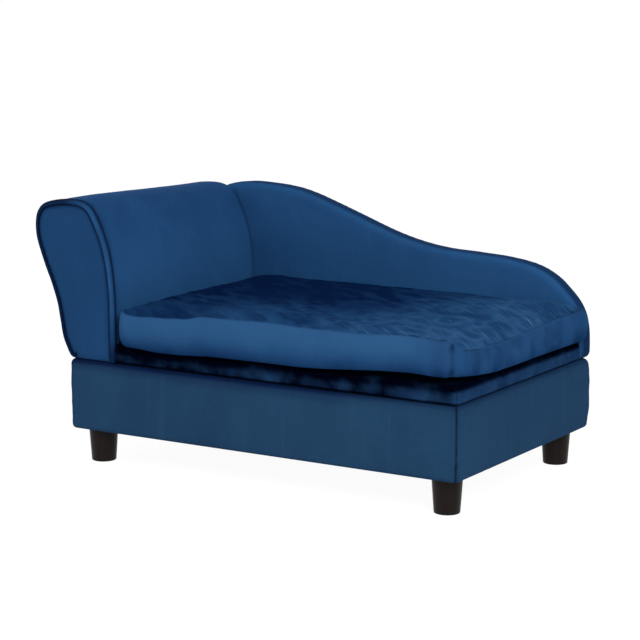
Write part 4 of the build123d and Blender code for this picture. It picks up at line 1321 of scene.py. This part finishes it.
def makeUnderCloth(name, nodeName, body, calmSpots, holes):
    # thin black cloth stapled flat under a board, it sags a little between the staples
    low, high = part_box(nodeName)
    long, wide = high.x - low.x, high.y - low.y

    def place(along, across):
        spot = Vector((low.x + along * long, low.y + across * wide, high.z))
        loose = ease(min(spot.x - low.x, high.x - spot.x, spot.y - low.y, high.y - spot.y),
                     0.006, 0.06)
        for x, y in calmSpots:
            loose *= ease(math.hypot(spot.x - x, spot.y - y), 0.022, 0.05)
        spot.z -= soft["sag"] * loose * (0.5 + 0.3 * rough(spot, 7, 3) + 0.3 * folds(spot, 9, 5))
        return spot
    piece = addSheet(name, *soft["clothCells"], place)
    deleteFaces(piece, lambda c, n: any(math.hypot(c.x - x, c.y - y) < soft["boltHole"]
                                        for x, y in holes))
    addSkin(piece, soft["skin"])
    dress(piece, "lining", body, nodeName)
    makeStaples(name + "_staples", low, high, body)


def makeStaples(name, low, high, body):
    # a row along each side, one staple modelled and then repeated
    inset, (long, wide, thick) = soft["stapleInset"], soft["staple"]
    rows = []
    for axis, other in ((0, 1), (1, 0)):
        room = high[axis] - low[axis] - 2 * inset
        count = round(room / soft["staplePitch"])
        pitch = (room - long) / count
        for across in (low[other] + inset, high[other] - inset):
            start = Vector((0, 0, low.z - thick))
            start[axis] = low[axis] + inset + (pitch / 2 if axis else 0)
            start[other] = across - wide / 2
            end = start + Vector((0, 0, thick))
            end[axis] += long
            end[other] += wide
            row = addBlock(name, start, end)
            bevelEdges(row, lambda a, b: True, soft["stapleEdge"], 1)
            addRow(row, count if axis else count + 1, onAxis(axis, pitch))
            rows.append(row)
    clearSelection()
    for row in rows:
        row.select_set(True)
    bpy.context.view_layer.objects.active = rows[0]
    bpy.ops.object.join()
    dress(nameIt(name), "zinc_steel", body)


def makeDeckFoam():
    low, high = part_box("deck_padding")
    piece = addBlock("deck_foam", low + Vector((0.0006, 0.0006, 0.0003)),
                     high - Vector((0.0006, 0.0006, 0.0002)))
    bevelEdges(piece, lambda a, b: min(a.z, b.z) > high.z - 0.001, soft["foamEdge"], 3)
    gridCuts(piece, soft["foamStep"], 0, 1)
    movePoints(piece, lambda place, normal: place - normal * soft["foamPit"]
               * (0.5 + 0.5 * rough(place, 40, 6)) * ease(place.z, low.z + 0.002, low.z + 0.006))
    dress(piece, "foam", "lid", "deck_padding")


def makeBackFoam():
    low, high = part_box("back_padding")
    line = smoothLine(backPoints, back["foamPoints"])[0]
    line = drawIn(line, [soft["backInset"]] * len(line))
    line = [point for point in line if point.z > boardHigh.z + 0.0020]
    loop = closeLoop(line, boardHigh.z + 0.0006, 24)
    piece = addPlate("back_foam", loop, low.y, high.y - 0.0001,
                     soft["backEdge"], soft["backStep"])
    dress(piece, "foam", "lid", "back_padding")


def middleOf(nodeName):
    low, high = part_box(nodeName)
    return (low.x + high.x) / 2, (low.y + high.y) / 2


legSpots = [middleOf("leg_" + corner)
            for corner in ("front_left", "front_right", "rear_left", "rear_right")]
bracketSpots = [middleOf("stay_bracket_" + side) for side in ("left", "right")]
makeLiningBag()
makeUnderCloth("dust_cloth", "base_dust_cover", "base", legSpots, legSpots)
makeUnderCloth("lid_lining", "deck_liner", "lid", bracketSpots, [])
makeDeckFoam()
makeBackFoam()
print("linings and fillings made")


# zip in the cushion's rear border

zipParts = {
    "tapeEdge": 0.0002, "ripple": 0.0001, "toothLong": 0.0015, "toothPitch": 0.0025,
    "toothEdge": 0.00035, "steps": (0.006, 0.0035),
}


def makeZip():
    low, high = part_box("zip_tape")
    tape = addBlock("zip_tape_cloth", low, high)
    bevelEdges(tape, lambda a, b: abs(a.x - b.x) > 0.1, zipParts["tapeEdge"], 2)
    for axis, step in zip((0, 2), zipParts["steps"]):
        gridCuts(tape, step, axis)
    middle = (low.z + high.z) / 2
    movePoints(tape, lambda place, normal: place - Vector((0, zipParts["ripple"], 0))
               * ease(abs(place.z - middle), 0.003, 0.006) * (0.5 + 0.5 * rough(place, 60, 2)))
    dress(tape, "zip_tape", "cushion", "zip_tape")
    low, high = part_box("zip_coil")
    long, pitch = zipParts["toothLong"], zipParts["toothPitch"]
    teeth = addBlock("zip_teeth", low, (low.x + long, high.y, high.z))
    bevelEdges(teeth, lambda a, b: True, zipParts["toothEdge"], 1)
    addRow(teeth, int((high.x - low.x - long) / pitch) + 1, (pitch, 0, 0))
    dress(teeth, "zip_metal", "cushion", "zip_coil")


makeZip()
print("zip made")


# finishes of the frame's own solids, by their slots, the velvet ones are all replaced

finished = 0
for part in frame["record"]["subparts"]:
    if part["material_slot"] != "velvet":
        giveFinish(frame["nodes"][part["node"]], part["material_slot"])
        finished += 1
print("solids finished:", finished)


# floor, light and camera

stage = {
    "level": 0.50, "floor": (0.93, 0.93, 0.93, 1), "floorShare": 0.90, "floorGlow": 1.06,
    "sky": (0.96, 0.98, 1, 1), "lit": (0, 0, 0.2),
    "key": {"place": (2.9, -2.7, 2.4), "power": 150.0, "size": 1.6},
    "fill": {"place": (-2.9, -1.7, 1.9), "power": 40.0, "size": 2.4},
    "camera": (1.7869, -2.86255, 0.8177), "aim": (0.0092, 0.00585, 0.2244), "lens": 122.85,
}
white = (1, 1, 1, 1)


def showPale(tree, output, lit, pale, share):
    # the camera, gloss and glass see the pale shader, all other light the lit one
    rays = addNode(tree, "ShaderNodeLightPath", -1000, 300).outputs
    seen = addMath(tree, -800, 300, "MAXIMUM", rays["Is Camera Ray"], rays["Is Glossy Ray"])
    seen = addMath(tree, -600, 300, "MAXIMUM", seen, rays["Is Transmission Ray"])
    seen = addMath(tree, -400, 300, "MULTIPLY", seen, share)
    mix = addNode(tree, "ShaderNodeMixShader", 200, 200,
                  {0: seen, 1: lit.outputs[0], 2: pale.outputs[0]})
    setInputs(tree.nodes[output], {"Surface": mix.outputs[0]})


def lookAt(thing, place):
    turn = (Vector(place) - thing.location).to_track_quat("-Z", "Y")
    thing.rotation_euler = turn.to_euler()


def makeStage():
    clearSelection()
    bpy.ops.mesh.primitive_plane_add(size=120, location=(0, 0, 0))
    floor = nameIt("floor")
    material, tree, shader = startMaterial("paleFloor")
    setInputs(shader, {"Base Color": stage["floor"], "Roughness": 0.9})
    glow = addNode(tree, "ShaderNodeEmission", -300, -200,
                   {"Color": white, "Strength": stage["floorGlow"]})
    showPale(tree, "Material Output", shader, glow, stage["floorShare"])
    floor.data.materials.append(material)

    world = bpy.data.worlds.new("studio")
    bpy.context.scene.world = world
    world.use_nodes = True
    tree = world.node_tree
    sky = tree.nodes["Background"]
    setInputs(sky, {"Color": stage["sky"], "Strength": stage["level"]})
    pale = addNode(tree, "ShaderNodeBackground", 0, -200, {"Color": white, "Strength": 1.0})
    showPale(tree, "World Output", sky, pale, 1)

    for name in ("key", "fill"):
        clearSelection()
        bpy.ops.object.light_add(type="AREA", location=stage[name]["place"])
        lamp = bpy.context.object
        lamp.name = name + "_light"
        lamp.data.energy = stage[name]["power"]
        lamp.data.size = stage[name]["size"]
        lookAt(lamp, stage["lit"])


def makeCamera():
    clearSelection()
    bpy.ops.object.camera_add(location=stage["camera"])
    camera = bpy.context.object
    camera.name = "photo_camera"
    lookAt(camera, stage["aim"])
    camera.data.lens = stage["lens"]
    camera.data.sensor_width = 36
    bpy.context.scene.camera = camera


makeStage()
makeCamera()
bpy.context.scene.view_settings.view_transform = "Standard"
print("stage, lights and camera set")
